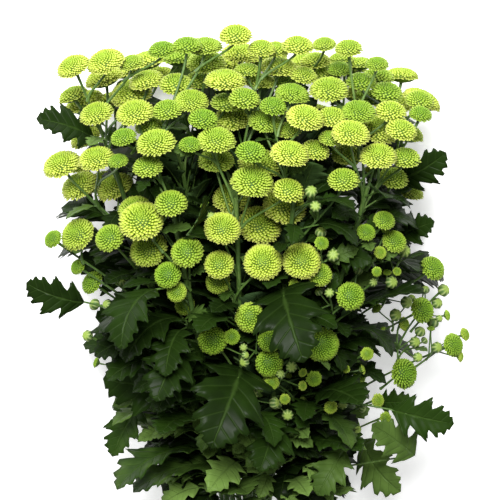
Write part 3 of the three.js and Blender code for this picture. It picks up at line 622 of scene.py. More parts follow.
def span_leaf(ends, reach, roll):
    """A leaf between two lines of sight, with its base deeper in the bunch than its tip."""
    tip = EYE_AT + reach * sight(*ends[2:])
    base = EYE_AT + (reach + seeded(LISTED_LEAF.recess, roll)) * sight(*ends[:2])
    span = np.linalg.norm(tip - base)
    chord = unit(tip - base)
    half = seeded(LISTED_LEAF.bend, roll) / 2
    facing = unit(EYE_WAY - chord * (EYE_WAY @ chord))
    facing = turned(facing, chord, LISTED_LEAF.turn * (roll() - 0.5))
    tangent = chord * math.cos(half) + facing * math.sin(half)
    normal = facing * math.cos(half) - chord * math.sin(half)
    length = span * half / math.sin(half)
    aside = np.cross(tangent, normal)
    return Named(base=base, tangent=tangent, normal=normal, aside=aside, bend=2 * half, length=length)


def leaf_feet(base):
    """The stem points that a listed leaf may grow from, nearest first."""
    v = max(min(bunch_place(base)[1] - LISTED_LEAF.back, BRANCH.high), BRANCH.low)
    feet = [(stem.owner, stem_point(stem, v)) for stem in stems]
    return sorted(feet, key=lambda foot: np.linalg.norm(foot[1] - base))[: LISTED_LEAF.choices]


def add_listed_leaf(ends, order):
    outline = first_meeting(sight(*ends[2:])) - LISTED_LEAF.lift
    for attempt in range(DARTS.tries):
        roll = dice(SEED.listed_leaf + 50 * order + attempt)
        leaf = span_leaf(ends, outline + LISTED_LEAF.step * (attempt // 2), roll)
        for owner, foot in leaf_feet(leaf.base):
            vars(leaf).update(owner=owner, foot=foot)
            fresh, lowest = leaf_room(leaf)
            fresh += stalk_beads(leaf, SHOOT.stalk_radius)
            if lowest >= -LEAF_POSE.pressed and beads.clear(fresh):
                beads.add(fresh)
                leaves.append(leaf)
                return


def add_leaves(stem):
    low = LEAF.low if stem.outer else LEAF.inner_low
    for k in range((LEAF.high - low) // LEAF.step):
        for attempt in range(DARTS.tries):
            roll = dice(SEED.leaf + 1000 * stem.owner + 50 * k + attempt)
            leaf = make_leaf(stem, low + LEAF.step * (k + 0.7 * roll()), k, roll)
            fresh, lowest = leaf_room(leaf)
            if lowest >= -LEAF_POSE.pressed and beads.clear(fresh):
                beads.add(fresh)
                leaves.append(leaf)
                break


# %% Run the layout
stems = make_stems()
beads = Beads()
flowers, leaves, buds = [], [], []
for stem in stems:
    beads.add(stem_beads(stem))
for order, head in enumerate(LISTED_FLOWERS + LISTED_BUDS):
    add_listed_head(*head, order, order >= len(LISTED_FLOWERS))
for order, ends in enumerate(LISTED_LEAVES):
    add_listed_leaf(ends, order)
add_back_skirt()
for stem in stems:
    add_leaves(stem)
for stem in stems:
    if stem.outer and stem.away[1] < SHOOT.back_side:
        add_shoot(stem)
print("flowers", len(flowers), "leaves", len(leaves), "buds", len(buds), "beads", beads.count)

# %% [markdown]
# The frame is centred on the whole bunch, and the rule's own origin is at the cut ends. The band gives
# the shift between the two, because the rule knows where its middle is. A flower's highest point is a
# corner of its solid, so the distance from one to the other shows whether the two layouts agree.

# %% From the layout's millimetres to the frame's metres
MM = 0.001
band_low, band_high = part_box("band")
band_middle = np.array((band_low + band_high) / 2)
SHIFT = band_middle - place(0, BUNCH.band_at, 0) * MM
SHIFT[2] = 0.0


def to_frame(points):
    return np.asarray(points) * MM + SHIFT


def spray_name(owner):
    return f"spray_{owner + 1:02d}"


def worst_miss():
    """The furthest that any flower's top is from a corner of its own spray's solid, in metres."""
    corners = {}
    for name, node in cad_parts.items():
        flat = np.zeros(len(node.data.vertices) * 3)
        node.data.vertices.foreach_get("co", flat)
        corners[name] = flat.reshape(-1, 3)
    misses = []
    for flower in flowers:
        top = to_frame(flower_points(flower)[-1])
        solid = corners[spray_name(flower.owner)]
        misses.append(np.linalg.norm(solid - top, axis=1).min())
    return max(misses)


print("worst miss of a flower from its solid, mm:", round(worst_miss() / MM, 3))

# %% [markdown]
# ## The camera and the light
# The camera looks down on the lying bunch, square to its side and a little from the flowers' end. A long
# lens keeps the depth flat. One large soft light stands beyond the flowers and lights the tops of the
# heads. A second one beside the camera and an even white room keep the shadows between them open.

# %% Camera
VIEW = Named(target=Vector(to_frame(EYE.aim)), way=Vector(EYE_WAY), span=0.385)
VIEW.distance = EYE.distance * MM
camera_data = bpy.data.cameras.new("camera")
camera = bpy.data.objects.new("camera", camera_data)
bpy.context.scene.collection.objects.link(camera)
camera.location = VIEW.target + VIEW.distance * VIEW.way
camera.rotation_euler = (-math.atan2(VIEW.way.y, VIEW.way.z), 0, 0)
camera_data.lens = camera_data.sensor_width * VIEW.distance / VIEW.span
camera_data.clip_end = 20
bpy.context.scene.camera = camera


# %% Lights and the pale floor
def linear(hex_colour):
    """An sRGB hex colour as the linear values that Blender's nodes take."""
    channels = [int(hex_colour[i : i + 2], 16) / 255 for i in (1, 3, 5)]
    return [c / 12.92 if c <= 0.04045 else ((c + 0.055) / 1.055) ** 2.4 for c in channels] + [1.0]


def add_light(name, position, aim, size, power):
    data = bpy.data.lights.new(name, "AREA")
    data.energy, data.size = power, size
    light = bpy.data.objects.new(name, data)
    light.location = position
    light.rotation_euler = (Vector(aim) - Vector(position)).to_track_quat("-Z", "Y").to_euler()
    bpy.context.scene.collection.objects.link(light)


beside_camera = VIEW.target + 1.5 * VIEW.way + Vector((-0.05, 0.5, 0.0))
add_light("key", (-0.35, 1.5, 1.3), (0, 0.15, 0.1), 0.8, 35)
add_light("fill", beside_camera, VIEW.target, 0.4, 29)
bpy.context.scene.view_settings.view_transform = "Standard"

world = bpy.data.worlds.new("studio")
bpy.context.scene.world = world
world.use_nodes = True
world.node_tree.nodes["Background"].inputs["Color"].default_value = (1, 1, 1, 1)
world.node_tree.nodes["Background"].inputs["Strength"].default_value = 0.42


# %% [markdown]
# ## Materials
# Petals, leaves and bracts are living tissue: water held in thin cells under a wax skin. That gives a
# soft sheen with an index of refraction near 1.45, no metal, and light that goes some way in. Colour
# runs along each floret from a darker foot to a pale tip, so it follows the surface by the pieces' own
# UV map. The darker foot is partly the floret's own green base and partly painted shade of the crowded
# gaps between florets. One value per thing, held on its vertices as "shade", makes no two heads or
# leaves alike. On the leaves it also holds painted shade: they are painted darker high in the bunch
# and lighter towards the bare stems.


# %% A helper that adds a node, and a material to add it to
def new_material(name, **settings):
    """A material with its Principled shader's own sockets set."""
    material = bpy.data.materials.new(name)
    material.use_nodes = True
    shader = material.node_tree.nodes["Principled BSDF"]
    for socket, value in settings.items():
        shader.inputs[socket.replace("_", " ")].default_value = value
    return material


def add_node(material, kind, inputs=None, **settings):
    """Adds a node. An input is a value, or (node, output) for a link."""
    tree = material.node_tree
    node = tree.nodes.new("ShaderNode" + kind)
    for key, value in settings.items():
        setattr(node, key, value)
    for socket, value in (inputs or {}).items():
        if isinstance(value, tuple) and isinstance(value[0], bpy.types.Node):
            tree.links.new(value[0].outputs[value[1]], node.inputs[socket])
        else:
            node.inputs[socket].default_value = value
    return node


def to_shader(material, **links):
    """Links (node, output) pairs to the Principled shader's sockets."""
    shader = material.node_tree.nodes["Principled BSDF"]
    for socket, (node, output) in links.items():
        material.node_tree.links.new(node.outputs[output], shader.inputs[socket.replace("_", " ")])


def set_stops(ramp, *stops):
    """Fills a colour ramp with (position, hex colour) stops."""
    elements = ramp.color_ramp.elements
    while len(elements) < len(stops):
        elements.new(0.5)
    for element, (position, colour) in zip(elements, stops):
        element.position = position
        element.color = linear(colour)


# A Mix node's colour sockets: the factor, the two colours, and the result.
FACTOR, FIRST, SECOND, MIXED = 0, 6, 7, 2


# %% Floret tissue
def floret_material():
    """Lime petals: deep green where they crowd in the middle, pale at the tips and round the rim. Each
    floret's darker foot is partly its own green base and partly painted shade.
    """
    material = new_material("petal", Roughness=0.6, IOR=1.42, Subsurface_Weight=0.06, Subsurface_Scale=0.0008)
    shader = material.node_tree.nodes["Principled BSDF"]
    shader.inputs["Subsurface Radius"].default_value = (0.6, 1.0, 0.2)
    places = add_node(material, "UVMap", uv_map="UVMap")
    split = add_node(material, "SeparateXYZ", {0: (places, "UV")})
    # This ramp darkens each floret towards its foot: partly its own green base, partly painted shade of the
    # gaps between florets.
    along = add_node(material, "ValToRGB", {0: (split, "X")})
    set_stops(along, (0.0, "#4a6a10"), (0.4, "#779020"), (0.75, "#b5c547"), (1.0, "#e0e28c"))
    out = add_node(material, "ValToRGB", {0: (split, "Y")})
    set_stops(out, (0.0, "#b6cf7c"), (0.1, "#cfe2a0"), (0.35, "#f0f8d4"), (1.0, "#ffffff"))
    tissue = add_node(
        material, "Mix", {FACTOR: 1.0, FIRST: (along, "Color"), SECOND: (out, "Color")}, data_type="RGBA",
        blend_type="MULTIPLY",
    )
    shade = add_node(material, "Attribute", attribute_name="shade")
    tint = add_node(material, "ValToRGB", {0: (shade, "Fac")})
    set_stops(tint, (0.0, "#b4d088"), (0.5, "#f2f5dc"), (1.0, "#ffffec"))
    tinted = add_node(
        material, "Mix", {FACTOR: 1.0, FIRST: (tissue, MIXED), SECOND: (tint, "Color")}, data_type="RGBA",
        blend_type="MULTIPLY",
    )
    to_shader(material, Base_Color=(tinted, MIXED))
    return material


# %% Leaf tissue, upper and lower sides
def leaf_material(name, old, middle, young, vein, roughness):
    """A leaf's skin: dull green with a paler midrib and side veins that run out to the lobes."""
    material = new_material(name, Roughness=roughness, IOR=1.45, Specular_IOR_Level=0.06)
    places = add_node(material, "UVMap", uv_map="UVMap")
    split = add_node(material, "SeparateXYZ", {0: (places, "UV")})
    aside = add_node(material, "Math", {0: (split, "Y"), 1: 0.5}, operation="SUBTRACT")
    from_middle = add_node(material, "Math", {0: (aside, 0)}, operation="ABSOLUTE")
    midrib = add_node(
        material, "MapRange",
        {"Value": (from_middle, 0), "From Min": 0.012, "From Max": 0.05, "To Min": 1.0, "To Max": 0.0},
    )
    from_first = add_node(material, "Math", {0: (split, "X"), 1: VEIN_FIRST}, operation="SUBTRACT")
    half_step = VEIN_STEP / 2
    folded = add_node(material, "Math", {0: (from_first, 0), 1: half_step}, operation="PINGPONG")
    side = add_node(
        material, "MapRange",
        {"Value": (folded, 0), "From Min": 0.002, "From Max": 0.014, "To Min": 0.4, "To Max": 0.0},
    )
    veins = add_node(material, "Math", {0: (midrib, 0), 1: (side, 0)}, operation="MAXIMUM")
    where = add_node(material, "TexCoord")
    mottle = add_node(material, "TexNoise", {0: (where, "Object"), "Scale": 70.0, "Detail": 2.0})
    shade = add_node(material, "Attribute", attribute_name="shade")
    age = add_node(material, "Math", {0: (mottle, 0), 1: 0.3, 2: (shade, "Fac")}, operation="MULTIPLY_ADD")
    green = add_node(material, "ValToRGB", {0: (age, 0)})
    set_stops(green, (0.15, old), (0.5, middle), (1.0, young))
    strength = add_node(material, "Math", {0: (veins, 0), 1: 0.25}, operation="MULTIPLY")
    veined = add_node(
        material, "Mix", {FACTOR: (strength, 0), FIRST: (green, "Color"), SECOND: linear(vein)},
        data_type="RGBA",
    )
    bump = add_node(
        material, "Bump", {"Height": (veins, 0), "Strength": 0.8, "Distance": 0.0008}, invert=True,
    )
    to_shader(material, Base_Color=(veined, MIXED), Normal=(bump, 0))
    return material


# %% Stems, bracts and buds
def stem_material():
    """Ribbed green stem, a little browner in patches, with fine streaks along it."""
    material = new_material("stem_skin", Roughness=0.5, IOR=1.45)
    where = add_node(material, "TexCoord")
    streaks = add_node(material, "Mapping", {0: (where, "Object"), "Scale": (900, 40, 900)})
    fine = add_node(material, "TexNoise", {0: (streaks, 0), "Scale": 1.0, "Detail": 3.0})
    broad = add_node(material, "TexNoise", {0: (where, "Object"), "Scale": 18.0, "Detail": 2.0})
    both = add_node(material, "Math", {0: (fine, 0), 1: (broad, 0)}, operation="ADD")
    halved = add_node(material, "Math", {0: (both, 0), 1: 0.5}, operation="MULTIPLY")
    green = add_node(material, "ValToRGB", {0: (halved, 0)})
    set_stops(green, (0.3, "#34501f"), (0.5, "#4d6b2c"), (0.7, "#768f49"))
    bump = add_node(material, "Bump", {"Height": (fine, 0), "Strength": 0.4, "Distance": 0.0003})
    to_shader(material, Base_Color=(green, "Color"), Normal=(bump, 0))
    return material


def pith_material():
    """The pale wet wood of a cut end."""
    return new_material("cut_pith", Base_Color=linear("#b9c48c"), Roughness=0.4, IOR=1.4)


def bract_material():
    """Green scales with papery cream edges, in stripes round a bud or a flower's cup."""
    material = new_material("bract", Roughness=0.6, IOR=1.45)
    places = add_node(material, "UVMap", uv_map="UVMap")
    split = add_node(material, "SeparateXYZ", {0: (places, "UV")})
    stripe = add_node(material, "Math", {0: (split, "X"), 1: 0.5}, operation="PINGPONG")
    green = add_node(material, "ValToRGB", {0: (stripe, 0)})
    set_stops(green, (0.0, "#98a56e"), (0.13, "#7f8f4e"), (0.3, "#4d6b2c"), (0.5, "#3d5a24"))
    top = add_node(material, "MapRange", {"Value": (split, "Y"), "From Min": 0.75, "From Max": 1.0})
    opened = add_node(
        material, "Mix", {FACTOR: (top, 0), FIRST: (green, "Color"), SECOND: linear("#8fa83c")},
        data_type="RGBA",
    )
    to_shader(material, Base_Color=(opened, MIXED))
    return material


def rubber_material():
    """Natural rubber: tan, dull, with a faint bloom of talc."""
    material = new_material("natural_rubber", Roughness=0.72, IOR=1.52)
    where = add_node(material, "TexCoord")
    dust = add_node(material, "TexNoise", {0: (where, "Object"), "Scale": 400.0, "Detail": 4.0})
    tan = add_node(material, "ValToRGB", {0: (dust, 0)})
    set_stops(tan, (0.35, "#a98546"), (0.65, "#c9a96c"))
    bump = add_node(material, "Bump", {"Height": (dust, 0), "Strength": 0.15, "Distance": 0.0002})
    to_shader(material, Base_Color=(tan, "Color"), Normal=(bump, 0))
    return material


# Side veins leave the midrib at even steps, in leaf lengths.
VEIN_FIRST = 0.09
VEIN_STEP = 0.14
PETAL = floret_material()
LEAF_TOP = leaf_material("leaf_upper_skin", "#121f07", "#22370e", "#6a8640", "#48622a", 0.36)
LEAF_UNDER = leaf_material("leaf_lower_skin", "#33482a", "#4a6434", "#647d42", "#6b7f50", 0.6)
STEM_SKIN = stem_material()
PITH = pith_material()
BRACT = bract_material()
RUBBER = rubber_material()


# %% [markdown]
# ## Growing shapes
# Florets, cups and buds are all grown the same way: a small closed ring is extruded through stations
# that move and scale it, then closed to a point. The extrude operator keeps the skin whole, and a shape
# repeated thousands of times stays at a dozen faces.


# %% Extrude a ring through stations
def extrude_ring(bm, edges, matrix):
    """Extrudes a ring of edges, moves the new ring by the matrix and returns its vertices and edges."""
    made = bmesh.ops.extrude_edge_only(bm, edges=edges)["geom"]
    verts = [item for item in made if isinstance(item, bmesh.types.BMVert)]
    lines = [item for item in made if isinstance(item, bmesh.types.BMEdge)]
    bmesh.ops.transform(bm, matrix=matrix, verts=verts)
    return verts, [edge for edge in lines if all(vert in verts for vert in edge.verts)]


def grow(sides, stations, tip=None):
    """A closed body. Each station is a 4x4 matrix that places a ring of radius 1, and tip closes it."""
    bm = bmesh.new()
    bm.loops.layers.uv.new("UVMap")
    bmesh.ops.create_circle(bm, cap_ends=True, segments=sides, radius=1)
    bmesh.ops.transform(bm, matrix=stations[0], verts=bm.verts)
    edges = bm.edges[:]
    for last, following in zip(stations, stations[1:]):
        verts, edges = extrude_ring(bm, edges, following @ last.inverted())
    if tip is not None:
        verts, edges = extrude_ring(bm, edges, Matrix.Identity(4))
        bmesh.ops.pointmerge(bm, verts=verts, merge_co=tip)
    else:
        bmesh.ops.contextual_create(bm, geom=edges)
    bmesh.ops.recalc_face_normals(bm, faces=bm.faces)
    return bm


def station(height, width, depth, shift=0.0):
    """A ring's place in a body that grows along +Z. shift moves it along +Y."""
    return Matrix.Translation((0, shift, height)) @ Matrix.Diagonal((width, depth, 1, 1))


def as_mesh(bm, name):
    mesh = bpy.data.meshes.new(name)
    bm.to_mesh(mesh)
    bm.free()
    return mesh


def set_uv(bm, faces, rule):
    """Gives each corner of the faces a UV by a rule on its vertex's place."""
    layer = bm.loops.layers.uv.verify()
    for face in faces:
        for loop in face.loops:
            loop[layer].uv = rule(loop.vert.co)


def add_copy(bm, mesh, matrix, shade=None):
    """Adds a moved copy of a mesh to a bmesh and returns its vertices."""
    first = len(bm.verts)
    bm.from_mesh(mesh)
    bm.verts.ensure_lookup_table()
    fresh = bm.verts[first:]
    bmesh.ops.transform(bm, matrix=matrix, verts=fresh)
    if shade is not None:
        layer = bm.verts.layers.float["shade"]
        for vert in fresh:
            vert[layer] = shade
    return fresh


def faces_of_copy(bm, mesh, matrix):
    """Adds a moved copy of a mesh to a bmesh and returns its faces."""
    first = len(bm.faces)
    add_copy(bm, mesh, matrix)
    bm.faces.ensure_lookup_table()
    return bm.faces[first:]


def new_piece_mesh():
    bm = bmesh.new()
    bm.loops.layers.uv.new("UVMap")
    bm.verts.layers.float.new("shade")
    return bm


# %% Florets
def floret_mesh(name, curl, thickness, stations):
    """A petal of unit length: a foot, a widening blade that is bowed by curl, and a short tip."""
    rings = [station(z, width, thickness * width, curl * math.sin(math.pi * z)) for z, width in stations]
    bm = grow(3, rings, tip=(0, 0, 1))
    set_uv(bm, bm.faces, lambda co: (co.z, 0))
    return as_mesh(bm, name)


# The outer florets show their whole blade. Of the inner ones only the tips show, so they are plain quills.
OUTER_FLORET = floret_mesh("outer_floret", 0.16, 0.4, [(0, 0.55), (0.5, 0.9), (0.84, 0.85)])
INNER_FLORET = floret_mesh("inner_floret", 0.05, 0.85, [(0, 0.8), (0.8, 1.0)])
print("faces of a floret:", len(OUTER_FLORET.polygons), "outer,", len(INNER_FLORET.polygons), "inner")

# %% [markdown]
# ## Flower heads
# A pompon head is a low dome of florets that stand as seeds do in a sunflower: each is turned 137.5
# degrees from the one before it. Here the feet sit on a small green core and the tips on the dome. The
# middle ones are short, narrow and tightly packed in a shallow dimple, and the outermost lie almost
# level, so that their tips make the jagged rim. A few heads are modelled, each with its own seed, and
# then copied at their own size and turn.

# %% One flower head of radius 1
GOLDEN_TURN = math.radians(137.508)
OPEN_HEAD = Named(
    count=290, end=math.radians(104), dome=0.58, crowd=0.72, outer_from=0.66, wide=1.0, dimple=0.03,
    deeper=0.02, cup_width=0.5, cup_depth=0.38, seed=70, kinds=4,
)
SMALL_HEAD = Named(
    count=170, end=math.radians(104), dome=0.6, crowd=0.72, outer_from=0.62, wide=1.3, dimple=0.06,
    deeper=0, cup_width=0.56, cup_depth=0.42, seed=76, kinds=2,
)
HALF_HEAD = Named(
    count=110, end=math.radians(84), dome=0.6, crowd=0.72, outer_from=2, wide=1.3, dimple=0.12, deeper=0,
    cup_width=0.72, cup_depth=0.62, seed=80, kinds=2,
)


def dome_point(angle, dome, dimple):
    """A point of the head's outline at an angle from its axis: (out, up)."""
    up = dome * math.cos(angle) if angle < math.pi / 2 else 0.34 * math.cos(angle)
    return math.sin(angle), up - dimple * math.exp(-((angle / 0.3) ** 2))


def add_florets(bm, form, dimple, roll):
    for i in range(form.count):
        share = (i + 0.5) / form.count
        angle = form.end * share ** form.crowd
        turn = i * GOLDEN_TURN + 0.1 * (roll() - 0.5)
        out, up = dome_point(angle, form.dome, dimple)
        stretch = 1 + 0.05 * (roll() - 0.5) + 0.12 * roll() * share**6
        depth = 0.7 - 0.2 * share
        foot = Vector((out * depth, 0, up * depth - 0.1 * (1 - share)))
        tip = Vector((out, 0, up)) * stretch
        length = (tip - foot).length
        z_axis = (tip - foot).normalized()
        y_axis = Vector((0, 1, 0)).cross(z_axis)
        y_axis = y_axis if y_axis.x > 0 or share < 0.1 else -y_axis
        x_axis = y_axis.cross(z_axis)
        width = (0.05 + 0.052 * share**0.4) * (0.9 + 0.2 * roll()) * form.wide
        axes = Matrix((x_axis, y_axis, z_axis)).transposed().to_4x4()
        size = Matrix.Diagonal((width, width, length, 1))
        spin = Matrix.Rotation(turn, 4, "Z") @ Matrix.Translation(foot) @ axes @ size
        mesh = OUTER_FLORET if share > form.outer_from else INNER_FLORET
        layer = bm.loops.layers.uv.verify()
        for face in faces_of_copy(bm, mesh, spin):
            for loop in face.loops:
                loop[layer].uv.y = share


def add_core(bm, dome, dimple):
    """The green middle that the florets grow from. It closes the gaps between them."""
    made = bmesh.ops.create_uvsphere(bm, u_segments=12, v_segments=8, radius=1)["verts"]
    for vert in made:
        up = dome * 0.84 if vert.co.z > 0 else 0.3
        vert.co = Vector((vert.co.x * 0.8, vert.co.y * 0.8, vert.co.z * up - 0.02 - 0.4 * dimple))
    faces = {face for vert in made for face in vert.link_faces}
    # The core takes the colour of a floret's darker foot, which is partly painted shade, so the gaps between
    # florets read deep.
    set_uv(bm, faces, lambda co: (0.1, 0.3))


def add_cup(bm, width, depth):
    """The ring of overlapping bracts under the florets, with each bract's edge standing proud."""
    rings = [
        station(-depth, 0.1, 0.1), station(-depth * 0.86, 0.2, 0.2),
        station(-depth * 0.5, width * 0.74, width * 0.74), station(-depth * 0.12, width, width),
        station(0.02, width * 0.9, width * 0.9),
    ]
    cup = grow(16, rings)
    for vert in cup.verts:
        turn = math.atan2(vert.co.y, vert.co.x)
        ridge = 1 + 0.07 * math.cos(8 * turn)
        vert.co.x *= ridge
        vert.co.y *= ridge
    set_uv(cup, cup.faces, lambda co: (4 * math.atan2(co.y, co.x) / math.pi, 0.3))
    mesh = as_mesh(cup, "cup")
    for face in faces_of_copy(bm, mesh, Matrix.Identity(4)):
        face.material_index = 1
    bpy.data.meshes.remove(mesh)


def head_meshes(name, form):
    """A few heads of one form, each with its own seed and the later ones with a deeper dimple."""
    meshes = []
    for i in range(form.kinds):
        bm = bmesh.new()
        bm.loops.layers.uv.new("UVMap")
        dimple = form.dimple + form.deeper * i
        add_florets(bm, form, dimple, dice(form.seed + i))
        add_cup(bm, form.cup_width, form.cup_depth)
        add_core(bm, form.dome, dimple)
        meshes.append(as_mesh(bm, f"{name}_{i}"))
    return meshes


OPEN_HEADS = head_meshes("open_head", OPEN_HEAD)
SMALL_HEADS = head_meshes("small_head", SMALL_HEAD)
HALF_HEADS = head_meshes("half_head", HALF_HEAD)
print("faces of a head:", len(OPEN_HEADS[0].polygons), "open,", len(HALF_HEADS[0].polygons), "half open")


# %% A closed bud of radius 1
def bud_mesh():
    """A ball of overlapping bracts: ridged, a little flat, with a dimple of green petals on top."""
    bm = bmesh.new()
    bm.loops.layers.uv.new("UVMap")
    bmesh.ops.create_uvsphere(bm, u_segments=32, v_segments=10, radius=1)
    for vert in bm.verts:
        turn = math.atan2(vert.co.y, vert.co.x)
        level = math.hypot(vert.co.x, vert.co.y)
        ridge = 1 + 0.06 * math.cos(8 * turn) * level
        sunk = 0.2 * math.exp(-((level / 0.3) ** 2)) if vert.co.z > 0 else 0
        vert.co = Vector((vert.co.x * ridge, vert.co.y * ridge, 0.86 * vert.co.z - sunk))
    set_uv(bm, bm.faces, lambda co: (4 * math.atan2(co.y, co.x) / math.pi, 0.5 + 0.55 * co.z))
    for face in bm.faces:
        face.material_index = 1
    return as_mesh(bm, "closed_bud")


CLOSED_BUD = bud_mesh()

# %% [markdown]
# ## Leaf blades
# A chrysanthemum leaf is cut into lobes on both sides, and each side vein runs forward and out to a
# lobe. The blade is a grid with one row per vein: the row starts on the midrib and its length sets how
# far the edge reaches, so long rows make lobes and short ones the notches between them. The grid's own
# rows then lie along the veins, which is also how the UV map can draw them.

# %% A flat blade of length 1
VEIN_LEAN = math.radians(55)
# Along each side: where a row leaves the midrib and how long it is, in leaf lengths.
BLADE_ROWS = [
    (0.0, 0.03), (0.03, 0.12), (0.05, 0.22), (0.07, 0.26), (0.085, 0.37), (0.1, 0.415), (0.13, 0.36),
    (0.15, 0.37), (0.19, 0.27), (0.25, 0.185), (0.29, 0.24), (0.31, 0.33), (0.335, 0.34), (0.36, 0.42),
    (0.385, 0.43), (0.42, 0.35), (0.44, 0.36), (0.48, 0.26), (0.52, 0.2), (0.56, 0.24), (0.59, 0.31),
    (0.63, 0.3), (0.66, 0.22), (0.72, 0.2), (0.75, 0.24), (0.79, 0.19), (0.85, 0.12), (0.88, 0.13),
    (0.94, 0.06), (1.0, 0.004),
]
SMALL_ROWS = [
    (0.0, 0.03), (0.05, 0.2), (0.1, 0.36), (0.15, 0.33), (0.25, 0.19), (0.33, 0.36), (0.39, 0.4),
    (0.46, 0.3), (0.54, 0.2), (0.6, 0.29), (0.68, 0.21), (0.76, 0.2), (0.86, 0.11), (1.0, 0.004),
]


def blade_mesh(name, rows, columns):
    """A flat blade: x along the midrib, y aside, and the UV map along the midrib and out to the edge."""
    bm = bmesh.new()
    bmesh.ops.create_grid(bm, x_segments=len(rows) - 1, y_segments=columns, size=1)
    bm.loops.layers.uv.new("UVMap")
    steps = np.linspace(-1, 1, len(rows))
    starts, lengths = zip(*rows)
    spots = {}
    for vert in bm.verts:
        start = float(np.interp(vert.co.x, steps, starts))
        length = float(np.interp(vert.co.x, steps, lengths))
        spots[vert.index] = (start, (vert.co.y + 1) / 2)
        reach = abs(vert.co.y) * length
        vert.co = (start + reach * math.cos(VEIN_LEAN), vert.co.y * length * math.sin(VEIN_LEAN), 0)
    layer = bm.loops.layers.uv.active
    for face in bm.faces:
        for loop in face.loops:
            loop[layer].uv = spots[loop.vert.index]
    # A leaf's own x, y and normal are left-handed, so the faces look down here to look up on the leaf.
    bmesh.ops.reverse_faces(bm, faces=bm.faces)
    return as_mesh(bm, name)


LARGE_BLADE = blade_mesh("large_blade", BLADE_ROWS, 6)
SMALL_BLADE = blade_mesh("small_blade", SMALL_ROWS, 4)
INNER_BLADE = blade_mesh("inner_blade", SMALL_ROWS, 2)
print("faces of a blade:", len(LARGE_BLADE.polygons), "large,", len(SMALL_BLADE.polygons), "small")


# %% Hang a blade
def add_blade(bm, mesh, leaf, shade, wave):
    """Bends a flat blade to a leaf's pose. The tissue swells between the veins, and its edge waves."""
    fresh = add_copy(bm, mesh, Matrix.Identity(4), shade)
    flat = np.array([vert.co for vert in fresh])
    x, y = flat[:, 0], flat[:, 1]
    points = hanging_points(leaf, x, y)
    start = x - np.abs(y) / math.tan(VEIN_LEAN)
    quilt = np.cos(2 * math.pi * (start - VEIN_FIRST) / VEIN_STEP) * np.minimum(np.abs(y) / 0.1, 1)
    edge = (y / 0.35) ** 2 * np.sin(9 * x + 5 * leaf.bend + 2 * np.sign(y))
    lift = leaf.length * (wave * edge - 0.008 * quilt)
    points = points + lift[:, None] * leaf.normal
    points[:, 2] = np.maximum(points[:, 2], LEAF_POSE.on_floor)
    for vert, point in zip(fresh, to_frame(points)):
        vert.co = point


# %% [markdown]
# ## The rest of the foliage and the smaller buds
# The solids hold the large leaves and the main buds. A real bunch is full of smaller leaves, which are
# what makes its inside dark. They are thrown by the same rule, with other seeds and a smaller length,
# and are kept where their own beads find room and hide none of the listed flowers. A line from the eye
# to each flower tells that. The few large leaves that hide one hang a little turned. Small leaves sit
# on the stalks too, and plain ones fill the dark inside.

# %% Stand the listed flowers up
# The high flowers look along the bunch, and the low ones look out of its side.
STAND = Named(low=-60, high=60, rise=math.radians(52), most=math.radians(30))
UP_TURN = np.cross(EYE_WAY, EYE_UP)


def stand_up(head):
    """Turns a flower about the end of its stalk, towards the way that its height asks for."""
    height = float((head.middle - EYE.aim) @ EYE_UP)
    share = min(max((height - STAND.low) / (STAND.high - STAND.low), 0), 1)
    rise = math.atan2(head.axis @ EYE_UP, head.axis @ EYE_WAY)
    turn = min(max(STAND.rise * share - rise, 0), STAND.most)
    head.middle = head.base + turned(head.middle - head.base, UP_TURN, turn)
    head.axis = turned(head.axis, UP_TURN, turn)
    return turn


turns = [math.degrees(stand_up(head)) for head in flowers if hasattr(head, "listed")]
print(f"flowers stood up: {sum(turn > 0 for turn in turns)}, by {max(turns):.0f} degrees at most")

# %% Keep the listed heads in the eye's sight
SHOWS = 0.65
SHOWS_PAST_SMALL = 0.85
listed = [head for head in flowers + buds if hasattr(head, "listed")]
to_listed = np.array([head.middle for head in listed]) - EYE_AT
listed_reach = np.linalg.norm(to_listed, axis=1)
to_listed /= listed_reach[:, None]
listed_radius = np.array([head.radius for head in listed])


def area_hidden(fresh, shows=SHOWS):
    """The area of the listed heads with any of the beads in front of that share of their radius."""
    at = np.array([bead[0] for bead in fresh]) - EYE_AT
    along = at @ to_listed.T
    aside = (at**2).sum(1)[:, None] - along**2
    room = np.array([bead[1] for bead in fresh])[:, None] + shows * listed_radius
    hidden = ((along < listed_reach) & (aside < room**2)).any(0)
    return math.pi * float((listed_radius**2)[hidden].sum())


def hides_head(fresh):
    """Whether a small leaf or bud would hide much of a listed head."""
    return area_hidden(fresh, SHOWS_PAST_SMALL) > 0


head_middles = np.array([head.middle for head in flowers + buds])
head_room = 0.75 * np.array([head.radius for head in flowers + buds])


def meets_head(fresh):
    """Whether any of the beads is well into a head."""
    at = np.array([bead[0] for bead in fresh])
    radius = np.array([bead[1] for bead in fresh])
    apart = np.linalg.norm(at[:, None, :] - head_middles, axis=2)
    return bool(np.any(apart < head_room + 0.6 * radius[:, None]))


# %% Swing a leaf about its foot and twist it, by as little as shows the heads behind it
SWINGS = [math.radians(sign * size) for size in range(0, 96, 8) for sign in (1, -1)]
TWISTS = [math.radians(angle) for angle in (0, 35, -35, 65, -65, 85, -85)]
TURNS = sorted(product(SWINGS, TWISTS), key=lambda turns: abs(turns[0]) + 0.5 * abs(turns[1]))
TOUCH = 4


def swung(leaf, swing, twist):
    trial = Named(**vars(leaf))
    for key in ("tangent", "normal", "aside"):
        vars(trial)[key] = turned(turned(vars(leaf)[key], leaf.tangent, twist), EYE_WAY, swing)
    trial.base = leaf.foot + turned(leaf.base - leaf.foot, EYE_WAY, swing)
    return trial


